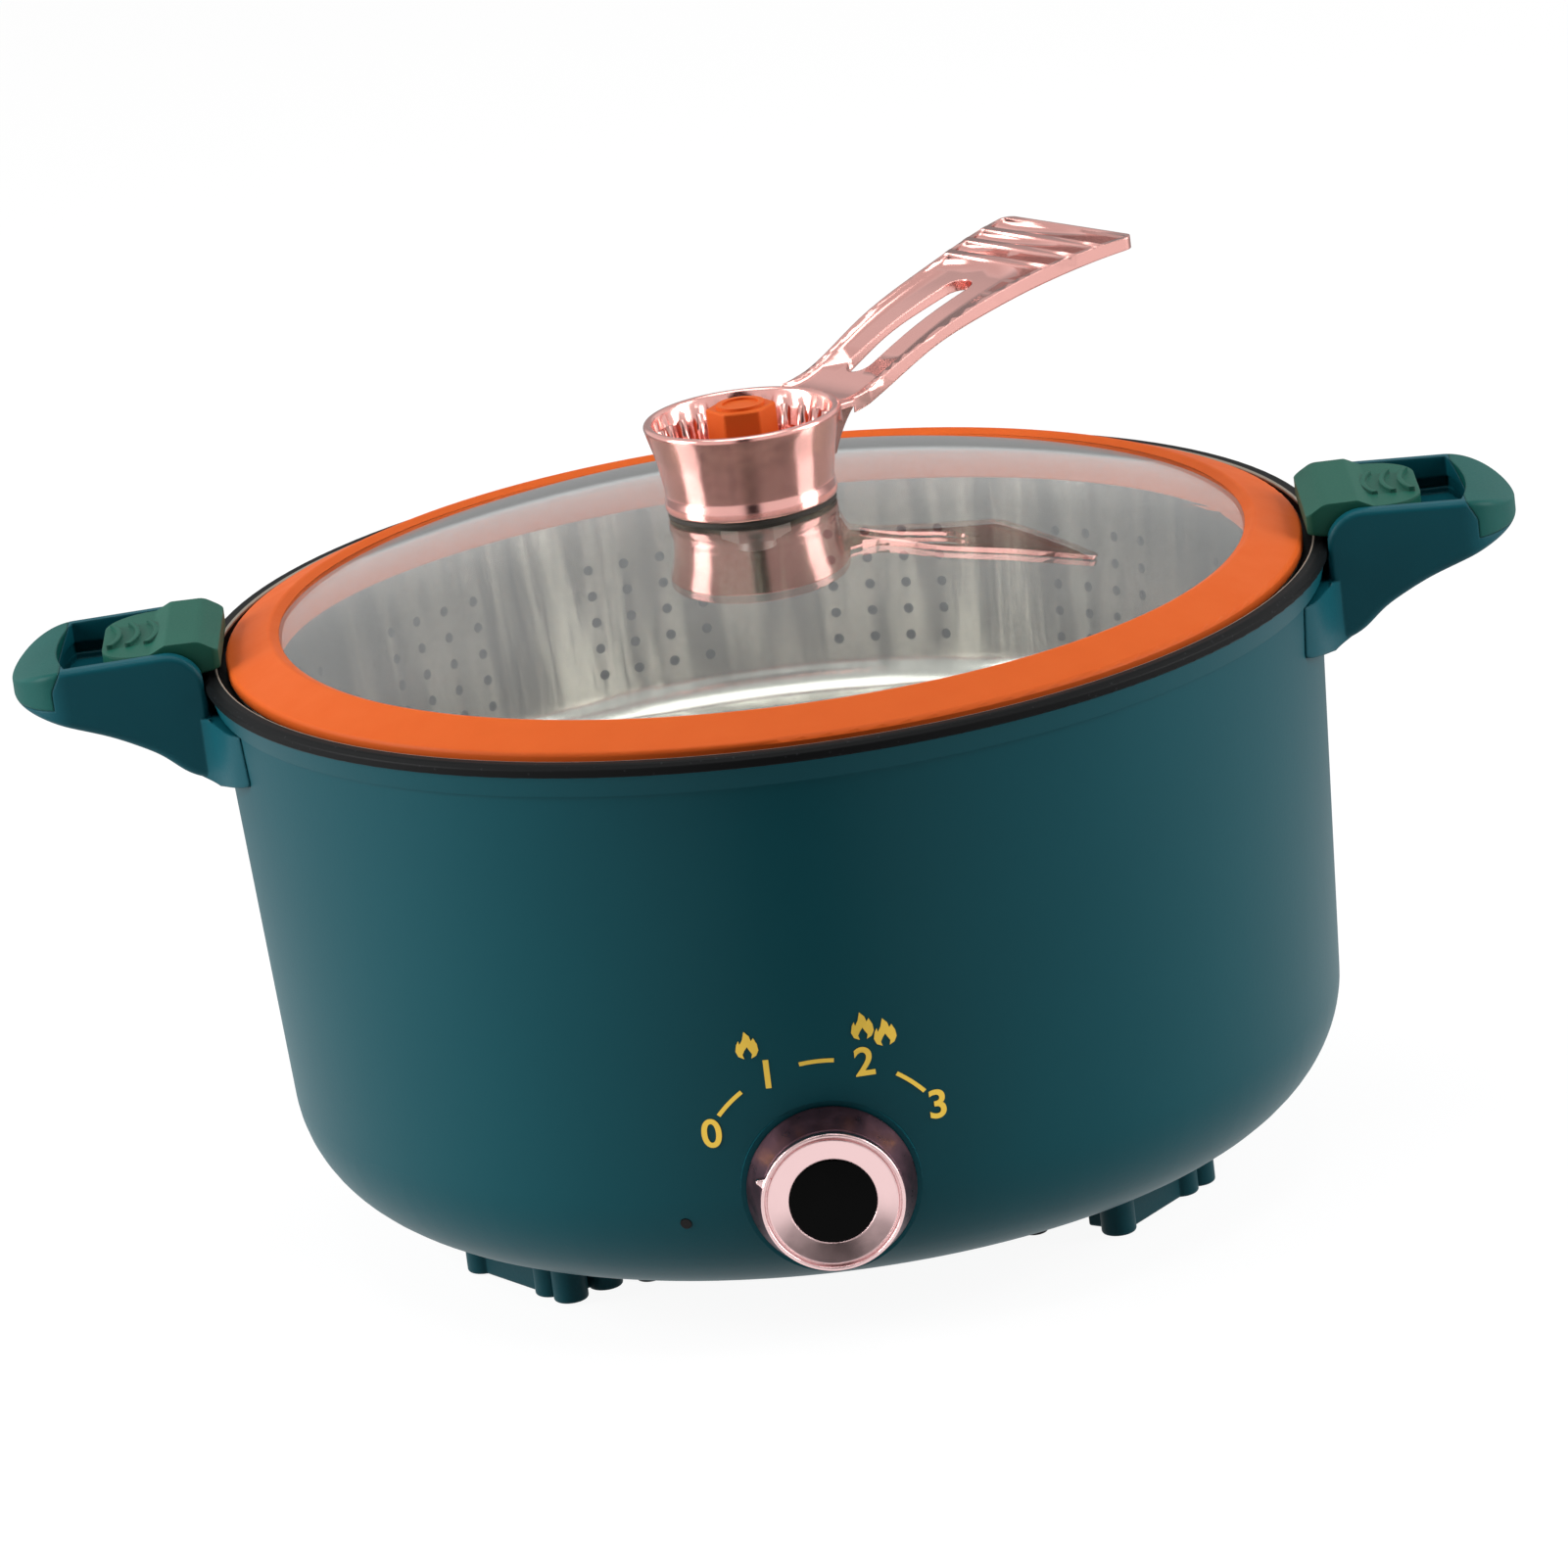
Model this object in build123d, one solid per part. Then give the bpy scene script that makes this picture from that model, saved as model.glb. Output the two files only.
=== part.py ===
from build123d import *
from math import asin, cos, radians, sin, sqrt, tan
import os

# Electric cooking pot: tapered shell, coated inner pot, hanging steamer basket, lift-off glass lid with a
# plated cup and grip arm, two side handles with sliding latches, and a control knob on the front.
# Millimetres. +Z is up, the knob faces -Y, the handles lie along X, Z = 0 is the surface it stands on.

# Clearances
SEAT = 0.1              # between fixed pieces that seat on a curved face
SLIDE = 0.4             # round the latches in their channels
LIFT = 0.3              # between the basket flange, its ledge and the lid
RUN = 0.05              # shaft in its bush, radial
SCREW_FREE = 0.15       # screw shank in a hole, radial
CUT = 60.0              # how far a cutting tool reaches past what it cuts
SOFT = 0.5              # small edge rounds

# Outer shell
FOOT_HEIGHT = 11.5
SHELL_HEIGHT = 148.6
SHELL_RADIUS = 146.85   # at the step line
WALL_TAPER = 3.04       # degrees
SHELL_CORNER = 33.7
SHELL_WALL = 1.2
COLLAR_HEIGHT = 5.5
COLLAR_PROUD = 0.9
COLLAR_FLARE = 1.4
BOTTOM_FLANGE = 11.0

# Inner pot; its rim lies on the shell's collar
RIM_OUT = 3.15          # past the shell's step line
RIM_WIDTH = 4.6
RIM_HEIGHT = 3.3
RIM_ROUND = 1.2
LEDGE_DROP = 0.3
LEDGE_WIDTH = 7.2
POT_TAPER = 2.0
POT_DEPTH = 97.8
POT_WALL = 3.0
POT_FLOOR = 4.0
POT_CORNER = 22.0

# Steamer basket
SHEET = 0.8
BASKET_GAP = 4.2        # to the pot at the ledge
BASKET_TAPER = 5.2
BASKET_DEPTH = 65.4
BASKET_CORNER = 12.0

# Lid glass and gasket
GASKET_GAP = 2.2        # to the pot's rim
GASKET_SIDE = 3.4
GASKET_HEIGHT = 8.4
GASKET_CREST_IN = 12.2
GASKET_LIP_IN = 14.8
GASKET_LIP_HEIGHT = 7.1
GASKET_ROUND = 1.4
SKIRT_DEPTH = 5.4
SKIRT_WIDTH = 3.0
SKIRT_GAP = 0.5
GLASS_IN = 7.2          # glass edge inside the gasket's
GLASS_THICK = 4.0
GLASS_HOLE = 6.0
DOME_RISE = 19.0
GLASS_FREE = 0.05

# Cup in the middle of the lid
WASHER_THICK = 0.7
CUP_HEIGHT = 23.8
CUP_FOOT_RADIUS = 22.9
CUP_FOOT = 2.4
CUP_WAIST_RADIUS = 22.4
CUP_WAIST = 4.6
CUP_MID_RADIUS = 24.0
CUP_MID = 14.5
CUP_RIM_RADIUS = 26.5
CUP_WALL = 2.5
CUP_LIP_ROUND = 1.1
CUP_FLOOR = 4.0
CUP_RIBS = 24
RIB_WIDTH = 1.5
RIB_DEEP = 1.3
RIB_MARGIN = 4.0

# Vent tube through the cup and the glass, with the valve on it
TUBE_RADIUS = 5.0
TUBE_BORE = 3.0
TUBE_RISE = 11.5        # above the valve seat
TUBE_FLANGE = 9.0
TUBE_FLANGE_THICK = 1.6
SEAT_RADIUS = 16.0
SEAT_THICK = 2.0
NUT_FLATS = 16.0
NUT_THICK = 5.0
LOW_WASHER_RADIUS = 15.0
LOW_WASHER_THICK = 2.0
TUBE_TAIL = 3.0
CAP_CORNERS = 18.8      # hexagon, across its corners
CAP_HEIGHT = 13.0
CAP_ROUND = 1.2
CAP_DISC_RADIUS = 6.4
CAP_DISC_HEIGHT = 0.8
CAP_DIMPLE_RADIUS = 4.8
CAP_DIMPLE = 0.6
CAP_SOCKET = 5.0

# Grip arm of the lid; the curves run from the cup's wall (0) to the tip (1), heights as parts of the rise
ARM_TURN = 39.0         # degrees from +X towards +Y
ARM_LENGTH = 121.0      # from the cup's axis to the tip
ARM_RISE = 21.8         # tip above the root
ARM_ROOT_DROP = 0.8
ARM_TOP_CURVE = (
    (0.0, 0.0), (0.06, 0.01), (0.165, 0.16), (0.32, 0.436), (0.474, 0.647), (0.629, 0.803), (0.784, 0.922),
    (1.0, 1.0),
)
ARM_LOW_CURVE = (
    (0.0, -0.2), (0.06, -0.17), (0.165, -0.02), (0.32, 0.294), (0.474, 0.486), (0.629, 0.628),
    (0.784, 0.748), (1.0, 0.852),
)
WEB_HEIGHTS = (-0.72, -0.3, 0.03)    # under the root, below the first points of the top curve
WEB_HALF = 8.0
ARM_HALF_WIDTHS = (
    (0.0, 18.6), (0.06, 15.2), (0.165, 14.2), (0.32, 15.9), (0.629, 18.9), (0.784, 21.6), (1.0, 26.2),
)
ARM_SLOT_START = 38.5
ARM_SLOT_LENGTH = 44.0
ARM_SLOT_WIDTH = 8.8
ARM_EDGE = 2.2          # raised edge round the top
ARM_EDGE_DEEP = 0.8
ARM_SKIN = 2.4
ARM_TIP_ROUND = 3.0
GRIP_RIBS = 3
GRIP_FIRST = 93.6
GRIP_PITCH = 8.2
GRIP_RIB_WIDTH = 2.4
GRIP_RIB_HIGH = 0.9

# Side handles; the underside runs from the pot's wall (0) to the tip (1), drops as parts of the root's drop
HANDLE_HALF = 25.5
HANDLE_LENGTH = 53.15   # from the shell's step line
HANDLE_RISE = 12.1      # above the shell's top
HANDLE_FALL = 1.4       # from its inner to its outer end
HANDLE_END = 16.0       # length of the oval end
HANDLE_TUCK = 2.0       # inside the rim's edge, before the rim is cut free
HANDLE_WALL_ROUND = 10.0
HANDLE_EDGE = 1.0
HANDLE_TOP_ROUND = 1.5
HANDLE_LOW_ROUND = 2.0
HANDLE_UNDER = (
    (-0.2, 1.0), (0.04, 0.98), (0.163, 0.871), (0.272, 0.672), (0.379, 0.527), (0.52, 0.376), (0.686, 0.241),
    (0.819, 0.133), (1.03, 0.015),
)
ROOT_DROP = 23.8        # below the shell's top
ROOT_TOP_DROP = 6.4
ROOT_END_RISE = 3.9
ROOT_END_DROP = 1.5
ROOT_HALF = 48.0
ROOT_BEND = 30.0
ROOT_PLAN = ((5.5, -0.08), (1.2, 0.15), (-2.0, 0.5), (-5.6, 0.85), (-9.0, 1.0))
ROOT_CORNER = 3.0
SPLIT_RISE = 0.3
CAP_LENGTH = 12.0
CAP_LEAN = 2.7
CAP_END_DROP = 6.8
POCKET_WALL = 0.6
POCKET_SAG = 3.0
CHANNEL_HALF = 21.8
CHANNEL_RISE = 0.7
RIM_FREE = 0.4
RAIL_HEIGHT = 2.2
RAIL_WIDTH = 1.6
RAIL_LIFT = 1.6

# Latches
LATCH_CLEAR = 0.4       # nose tip outside the gasket at rest
LATCH_TRAVEL = 9.6      # room behind the tail
LATCH_TAIL_ROUND = 12.0
NOSE_OVER_RIM = 1.5
NOSE_OVER_GASKET = 1.7
NOSE_TIP_HEIGHT = 4.3
NOSE_PROUD = 1.4        # above the handle's top
NOSE_RAMP = 5.0
NOSE_PAST_RIM = 7.5
NOSE_ROUND = 2.0
LATCH_SUNK = 0.6        # below the handle's top
LATCH_TAIL_SUNK = 1.2
RIDGES = 3
RIDGE_FIRST = 3.1       # from the end of the nose
RIDGE_PITCH = 4.9
RIDGE_HALF = 10.0
RIDGE_RADIUS = 23.0
RIDGE_WIDTH = 1.3
RIDGE_HIGH = 0.8

# Handle screws
HANDLE_SCREW_RADIUS = 2.0
HANDLE_SCREW_HEAD = 4.0
HANDLE_SCREW_HEAD_THICK = 2.4
HANDLE_SCREW_SPREAD = 14.0
HANDLE_SCREW_DROP = 14.6
HANDLE_SCREW_BITE = 9.0

# Knob and thermostat
KNOB_RISE = 33.8        # above the shell's bottom
BOSS_RADIUS = 23.0
BOSS_PROUD = 0.6
KNOB_GAP = 0.5
KNOB_RADIUS = 21.9
KNOB_FRONT_RADIUS = 18.3
KNOB_DEPTH = 12.7
KNOB_RING_THICK = 2.8
KNOB_WALL = 2.6
KNOB_HUB = 6.0
DISC_RADIUS = 11.2
DISC_SUNK = 1.4
RING_LIP = 1.0
RING_GROOVE = 0.6
GROOVE_DEEP = 1.3
POINTER_TURN = 68.0     # left of vertical when off
POINTER_REACH = 2.6
POINTER_HALF = 2.4
POINTER_THICK = 1.8
SHAFT_RADIUS = 3.0
SHAFT_FLAT = 2.2
BUSH_RADIUS = 5.0
BUSH_OUT = 4.5
BUSH_NUT_FLATS = 14.0
BUSH_NUT_THICK = 3.0
HUB_CLEAR = 0.7
BRACKET_THICK = 1.5
BRACKET_WIDTH = 40.0
BRACKET_HEIGHT = 20.0
STAT_WIDTH = 28.0
STAT_HEIGHT = 21.0
STAT_DEPTH = 18.0
STAT_ROUND = 2.0
TAB_WIDTH = 6.3
TAB_THICK = 0.8
TAB_LENGTH = 8.0
TAB_SPREAD = 7.0

# Indicator lamp
LAMP_ACROSS = -38.0
LAMP_RISE = 26.0
LENS_RADIUS = 1.45
LENS_PROUD = 0.2
LENS_FLANGE = 3.4
LENS_FLANGE_THICK = 1.2
LENS_SET = 0.3          # flat flange behind the curved wall
LAMP_RADIUS = 2.6
LAMP_LENGTH = 12.0

# Base cover and feet
COVER_THICK = 2.5
COVER_INSET = 2.5
COVER_LIP = 4.0
COVER_LIP_WALL = 2.0
COVER_LIP_FREE = 0.4
VENTS = 20
VENT_IN = 34.3          # middle of the vents inside the bottom opening
VENT_LENGTH = 26.0
VENT_WIDTH = 3.0
FOOT_TURNS = (53.0, 127.0, 233.0, 307.0)
FOOT_IN = 0.3           # outer face inside the flat bottom's edge
FOOT_WIDTH = 16.0
FOOT_NARROW = 12.0      # width at the end with one lobe
FOOT_HALF = 18.0
LOBE_RADIUS = 4.6
LOBE_SINGLE = 18.5
LOBE_NEAR = -11.5
LOBE_FAR = -19.6
FOOT_EDGE = 0.8
PAD_LENGTH = 24.0
PAD_WIDTH = 7.0
PAD_THICK = 2.2
PAD_PROUD = 0.5
BASE_SCREWS = 6
BASE_SCREW_IN = 6.3
BASE_SCREW_RADIUS = 1.8
BASE_SCREW_HEAD = 3.5
BASE_SCREW_HEAD_THICK = 2.2
BASE_SCREW_LENGTH = 9.0

# Heater under the pot
PLATE_RADIUS = 82.0
PLATE_THICK = 4.0
HEATER_IN = 20.0        # inside the plate's edge
HEATER_TUBE = 4.0
HEATER_GAP = 20.0       # half of the open angle, degrees
HEATER_BEND = 10.0
HEATER_DROP = 2.0
PIN_RADIUS = 1.6
PIN_LENGTH = 6.0
CUTOUT_RADIUS = 9.0
CUTOUT_HEIGHT = 9.0
FUSE_RADIUS = 2.4
FUSE_LENGTH = 16.0
FUSE_OFFSET = 32.0
FUSE_WIRE_RADIUS = 0.6
FUSE_WIRE = 6.0
CUTOUT_TAB_DROP = 6.0
EARTH_IN = 8.0
EARTH_STUD_RADIUS = 2.0
EARTH_STUD_LENGTH = 9.0
EARTH_NUT_FLATS = 7.0
EARTH_NUT_DROP = 3.0
EARTH_NUT_THICK = 3.2
CLIP_WIDTH = 5.0
CLIP_THICK = 0.8
CLIP_FOOT = 6.0

# Power inlet on the back
INLET_RISE = 28.5
INLET_PROUD = 4.5
INLET_FLANGE_WIDTH = 54.0
INLET_FLANGE_HEIGHT = 27.0
INLET_FLANGE_ROUND = 5.0
INLET_WIDTH = 31.0
INLET_TALL = 22.0
INLET_DEPTH = 26.0
SOCKET_WIDTH = 24.0
SOCKET_TALL = 16.0
SOCKET_DEEP = 18.0
SOCKET_ROUND = 3.0
CONTACT_RADIUS = 2.0
CONTACT_LENGTH = 12.0
CONTACT_SPREAD = 7.0
CONTACT_RAISE = 3.0
CONTACT_TAIL = 8.0
INLET_SCREW_SPREAD = 21.5
INLET_SCREW_RADIUS = 1.5
INLET_SCREW_HEAD = 3.0
INLET_SCREW_HEAD_THICK = 1.8
INLET_SCREW_LENGTH = 10.0

# Inner leads: the points on the way, as steps from the lead's start and from its end
LEAD_RADIUS = 1.1
LEAD_BEND = 22.0        # largest bend radius
LEAD_BEND_SHARE = 0.48  # of the shorter straight run next to a bend
LIVE_LEAVE = ((0, -15, 0), (39, -39, -15), (51, -101, -17))
LIVE_ARRIVE = ((40, 52, -20), (0, 17, 0))
CONTROL_LEAVE = ((0, 17, 0), (-9, 47, -8))
CONTROL_ARRIVE = ((-21, -24, -8), (-19, 0, 0))
LINK_LEAVE = ((19, 0, 0),)
LINK_ARRIVE = ((22, 0, 0),)
HEATER_LEAVE = ((-18, 0, 0), (-18, 8, -29))
HEATER_ARRIVE = ((-20, -18, -15), (0, 0, -16))
NEUTRAL_LEAVE = ((0, -14, 0),)
NEUTRAL_ARRIVE = ((0, 19, -15), (0, 0, -16))
EARTH_LEAVE = ((0, -13, 0),)
EARTH_ARRIVE = ((0, 11, 0),)

# Heights and radii that follow from the sizes above
SHELL_LOW = FOOT_HEIGHT
SHELL_TOP = SHELL_LOW + SHELL_HEIGHT
STEP_HEIGHT = SHELL_TOP - COLLAR_HEIGHT
LEDGE = SHELL_TOP - LEDGE_DROP
RIM_TOP = SHELL_TOP + RIM_HEIGHT
RIM_RADIUS = SHELL_RADIUS + RIM_OUT
LEDGE_RADIUS = RIM_RADIUS - RIM_WIDTH
POT_RADIUS = LEDGE_RADIUS - LEDGE_WIDTH
BASKET_RADIUS = POT_RADIUS - BASKET_GAP
GASKET_RADIUS = LEDGE_RADIUS - GASKET_GAP
GASKET_CREST_RADIUS = GASKET_RADIUS - GASKET_CREST_IN
GASKET_LIP_RADIUS = GASKET_RADIUS - GASKET_LIP_IN
GLASS_RADIUS = GASKET_RADIUS - GLASS_IN
FLANGE_RADIUS = GASKET_RADIUS - SEAT
POT_FLOOR_TOP = LEDGE - POT_DEPTH
POT_UNDER = POT_FLOOR_TOP - POT_FLOOR
FLANGE_LOW = LEDGE + LIFT
FLANGE_TOP = FLANGE_LOW + SHEET
BASKET_LOW = FLANGE_LOW - BASKET_DEPTH
GASKET_LOW = FLANGE_TOP + LIFT
GASKET_CREST = GASKET_LOW + GASKET_HEIGHT
GLASS_LIP = GASKET_LOW + GASKET_LIP_HEIGHT
DOME_RADIUS = (GASKET_LIP_RADIUS ** 2 + DOME_RISE ** 2) / (2 * DOME_RISE)
DOME_CENTRE = GLASS_LIP + DOME_RISE - DOME_RADIUS
CUP_LOW = GLASS_LIP + DOME_RISE + WASHER_THICK
CUP_TOP = CUP_LOW + CUP_HEIGHT
CUP_FLOOR_TOP = CUP_LOW + CUP_FLOOR
SEAT_TOP = CUP_FLOOR_TOP + SEAT_THICK
TUBE_TOP = SEAT_TOP + TUBE_RISE
PLATE_LOW = POT_UNDER - PLATE_THICK
COVER_TOP = SHELL_LOW - SEAT
COVER_LOW = COVER_TOP - COVER_THICK
KNOB_HEIGHT = SHELL_LOW + KNOB_RISE
LAMP_HEIGHT = SHELL_LOW + LAMP_RISE
INLET_HEIGHT = SHELL_LOW + INLET_RISE
HANDLE_REACH = SHELL_RADIUS + HANDLE_LENGTH
HANDLE_TOP = SHELL_TOP + HANDLE_RISE
HANDLE_END_TOP = HANDLE_TOP - HANDLE_FALL
HANDLE_END_START = HANDLE_REACH - HANDLE_END
HANDLE_WALL_IN = RIM_RADIUS - HANDLE_TUCK
HANDLE_SCREW_HEIGHT = SHELL_TOP - HANDLE_SCREW_DROP
ROOT_LOW = SHELL_TOP - ROOT_DROP
ROOT_TOP = SHELL_TOP - ROOT_TOP_DROP
ROOT_END_LOW = ROOT_LOW + ROOT_END_RISE
ROOT_END_TOP = SHELL_TOP - ROOT_END_DROP
CAP_SPLIT = SHELL_TOP + SPLIT_RISE
CAP_START = HANDLE_REACH - CAP_LENGTH
POCKET_END = CAP_START - POCKET_WALL
CHANNEL_FLOOR = SHELL_TOP + CHANNEL_RISE
LATCH_TAIL = POCKET_END - POCKET_SAG - LATCH_TRAVEL
LATCH_TOP = HANDLE_TOP - LATCH_SUNK
LATCH_TAIL_TOP = HANDLE_TOP - LATCH_TAIL_SUNK
NOSE_UNDER = RIM_TOP + NOSE_OVER_RIM
NOSE_LOW = GASKET_LOW + GASKET_SIDE + NOSE_OVER_GASKET
NOSE_TIP_TOP = NOSE_LOW + NOSE_TIP_HEIGHT
NOSE_TOP = HANDLE_TOP + NOSE_PROUD
NOSE_END = RIM_RADIUS + NOSE_PAST_RIM
HEATER_CIRCLE = PLATE_RADIUS - HEATER_IN
EARTH_OFFSET = PLATE_RADIUS - EARTH_IN


def shell_radius(height):
    return SHELL_RADIUS - (STEP_HEIGHT - height) * tan(radians(WALL_TAPER))


def pot_radius(height):
    return POT_RADIUS - (LEDGE - height) * tan(radians(POT_TAPER))


def basket_radius(height):
    return BASKET_RADIUS - (FLANGE_LOW - height) * tan(radians(BASKET_TAPER))


def dome(radius, depth=0.0):
    return DOME_CENTRE + sqrt((DOME_RADIUS - depth) ** 2 - radius ** 2)


def outline(*corners):
    """Closed flat outline; each corner is (x, y, corner round)."""
    points = [(x, y) for x, y, _ in corners]
    rounds = [r for _, _, r in corners]
    return make_face(FilletPolyline(*points, radius=rounds, close=True))


def lathe(*corners):
    """Solid turned about Z; each corner is (radius, height, corner round)."""
    return revolve(Plane.XZ * outline(*corners), Axis.Z)


def along_y(sketch, half):
    """Side profile drawn in X and Z, thickened evenly across Y."""
    return extrude(Plane.XZ * sketch, half, both=True)


def upright(sketch, low, high):
    """Plan outline drawn in X and Y, raised from one height to another."""
    return Pos(0, 0, low) * extrude(sketch, high - low)


def turned(piece, angle):
    return Rot(0, 0, angle) * piece


# Shell
FLAT_RADIUS = (shell_radius(SHELL_LOW) + SHELL_CORNER * tan(radians(WALL_TAPER))
               - SHELL_CORNER / cos(radians(WALL_TAPER)))
OPENING_RADIUS = FLAT_RADIUS - BOTTOM_FLANGE
BASE_SCREW_CIRCLE = FLAT_RADIUS - BASE_SCREW_IN
VENT_RADIUS = OPENING_RADIUS - VENT_IN
FOOT_OUT = FLAT_RADIUS - FOOT_IN
COLLAR_TOP_RADIUS = SHELL_RADIUS + COLLAR_PROUD + COLLAR_FLARE
BOSS_FACE = shell_radius(KNOB_HEIGHT) + BOSS_PROUD
knob_seat = Plane(origin=(0, -BOSS_FACE, KNOB_HEIGHT), x_dir=(1, 0, 0), z_dir=(0, -1, 0))


def shell_body(grow):
    """The shell's outside as a solid, grown by a clearance (negative for the inside)."""
    low = SHELL_LOW - grow
    return lathe(
        (0, low, 0),
        (shell_radius(low) + grow, low, SHELL_CORNER + grow),
        (SHELL_RADIUS + grow, STEP_HEIGHT, 0),
        (SHELL_RADIUS + COLLAR_PROUD + max(grow, 0), STEP_HEIGHT, 0),
        (COLLAR_TOP_RADIUS + grow, SHELL_TOP, 0),
        (0, SHELL_TOP, 0),
    )


def shell_hollow():
    low = SHELL_LOW + SHELL_WALL
    side = SHELL_WALL / cos(radians(WALL_TAPER))
    return lathe(
        (0, low, 0),
        (shell_radius(low) - side, low, SHELL_CORNER - SHELL_WALL),
        (SHELL_RADIUS - side, STEP_HEIGHT, 0),
        (COLLAR_TOP_RADIUS - SHELL_WALL, SHELL_TOP, 0),
        (0, SHELL_TOP, 0),
    )


def lamp_plane():
    """On the round bottom corner of the shell at the lamp, Z pointing out square to the surface."""
    tilt = asin((SHELL_LOW + SHELL_CORNER - LAMP_HEIGHT) / SHELL_CORNER)
    radius = FLAT_RADIUS + SHELL_CORNER * cos(tilt)
    across = asin(LAMP_ACROSS / radius)
    return Plane(
        origin=(LAMP_ACROSS, -radius * cos(across), LAMP_HEIGHT),
        x_dir=(cos(across), sin(across), 0),
        z_dir=(sin(across) * cos(tilt), -cos(across) * cos(tilt), -sin(tilt)),
    )


def inlet_plane():
    """On the inlet's front face, Z pointing out of the back of the pot."""
    face = shell_radius(INLET_HEIGHT) + INLET_PROUD
    return Plane(origin=(0, face, INLET_HEIGHT), x_dir=(-1, 0, 0), z_dir=(0, 1, 0))


def screw_turns():
    return [turn * 360 / BASE_SCREWS for turn in range(BASE_SCREWS)]


def outer_shell():
    boss = knob_seat * upright(Circle(BOSS_RADIUS), -CUT, 0)
    boss_hollow = knob_seat * upright(Circle(BOSS_RADIUS - SHELL_WALL), -CUT, -SHELL_WALL)
    boss_front = knob_seat * upright(Circle(BOSS_RADIUS), 0, CUT)
    hollow = shell_hollow() - knob_seat * upright(Circle(BOSS_RADIUS), -SHELL_WALL, CUT)
    shell = shell_body(0) + boss - hollow - boss_hollow - boss_front
    shell -= Pos(0, 0, SHELL_LOW) * Cylinder(OPENING_RADIUS, CUT)
    shell -= knob_seat * Cylinder(BUSH_RADIUS + SCREW_FREE, CUT / 4)
    shell -= lamp_plane() * Cylinder(LENS_RADIUS + SEAT, CUT / 4)
    shell -= inlet_plane() * Box(INLET_WIDTH + 2 * SEAT, INLET_TALL + 2 * SEAT, CUT / 2)
    for side in (-1, 1):
        shell -= inlet_plane() * (Pos(side * INLET_SCREW_SPREAD, 0, 0)
                                  * Cylinder(INLET_SCREW_RADIUS + SCREW_FREE, CUT / 2))
        for across in (-1, 1):
            hole = Rot(0, 90, 0) * Cylinder(HANDLE_SCREW_RADIUS + SCREW_FREE, CUT / 3)
            shell -= Pos(side * SHELL_RADIUS, across * HANDLE_SCREW_SPREAD, HANDLE_SCREW_HEIGHT) * hole
    for angle in screw_turns():
        hole = Pos(BASE_SCREW_CIRCLE, 0, SHELL_LOW) * Cylinder(BASE_SCREW_RADIUS + SCREW_FREE, CUT / 6)
        shell -= turned(hole, angle)
    return shell


def inner_pot():
    hang = LEDGE_RADIUS - LIFT
    under = LEDGE - POT_WALL
    side = POT_WALL / cos(radians(POT_TAPER))
    return lathe(
        (0, POT_FLOOR_TOP, 0),
        (pot_radius(POT_FLOOR_TOP), POT_FLOOR_TOP, POT_CORNER),
        (POT_RADIUS, LEDGE, RIM_ROUND),
        (LEDGE_RADIUS, LEDGE, RIM_ROUND / 4),
        (LEDGE_RADIUS + RIM_ROUND / 3, RIM_TOP, RIM_ROUND / 2),
        (RIM_RADIUS - RIM_ROUND, RIM_TOP, RIM_ROUND),
        (RIM_RADIUS, RIM_TOP - RIM_ROUND, RIM_ROUND / 2),
        (RIM_RADIUS, SHELL_TOP, RIM_ROUND / 2),
        (hang, SHELL_TOP, 0),
        (hang, under, RIM_ROUND),
        (pot_radius(under) + side, under, RIM_ROUND),
        (pot_radius(POT_UNDER) + side, POT_UNDER, POT_CORNER + POT_WALL),
        (0, POT_UNDER, 0),
    )


def steamer_basket():
    floor = BASKET_LOW + SHEET
    side = SHEET / cos(radians(BASKET_TAPER))
    return lathe(
        (0, floor, 0),
        (basket_radius(floor) - side, floor, BASKET_CORNER - SHEET),
        (BASKET_RADIUS - side, FLANGE_TOP, SHEET),
        (FLANGE_RADIUS, FLANGE_TOP, SHEET / 3),
        (FLANGE_RADIUS, FLANGE_LOW, SHEET / 3),
        (BASKET_RADIUS, FLANGE_LOW, 2 * SHEET),
        (basket_radius(BASKET_LOW), BASKET_LOW, BASKET_CORNER),
        (0, BASKET_LOW, 0),
    )


# Lid
def glass_body(hole, edge, free):
    """Domed disc between two concentric spheres, grown by a clearance."""
    def arc(depth):
        ends = (hole, (hole + edge) / 2, edge)
        return ThreePointArc(*[(radius, dome(radius, depth)) for radius in ends])

    top = arc(-free)
    low = arc(GLASS_THICK + free)
    rim = Line(top @ 1, low @ 1)
    bore = Line(low @ 0, top @ 0)
    return revolve(Plane.XZ * make_face([top, rim, low, bore]), Axis.Z)


def lid_glass():
    return glass_body(GLASS_HOLE, GLASS_RADIUS, 0)


def lid_gasket():
    skirt_low = GASKET_LOW - SKIRT_DEPTH
    skirt_out = basket_radius(skirt_low) - SHEET / cos(radians(BASKET_TAPER)) - SKIRT_GAP
    ring = lathe(
        (GASKET_RADIUS, GASKET_LOW, GASKET_ROUND / 4),
        (GASKET_RADIUS, GASKET_LOW + GASKET_SIDE, GASKET_ROUND),
        (GASKET_CREST_RADIUS, GASKET_CREST, GASKET_ROUND),
        (GASKET_LIP_RADIUS, GLASS_LIP, 0),
        (GASKET_LIP_RADIUS, GLASS_LIP - GLASS_THICK - GASKET_ROUND, 0),
        (skirt_out - SKIRT_WIDTH, skirt_low, GASKET_ROUND / 2),
        (skirt_out, skirt_low, GASKET_ROUND / 2),
        (skirt_out, GASKET_LOW, 0),
    )
    return ring - glass_body(GLASS_HOLE, GLASS_RADIUS + GLASS_FREE, GLASS_FREE)


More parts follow.
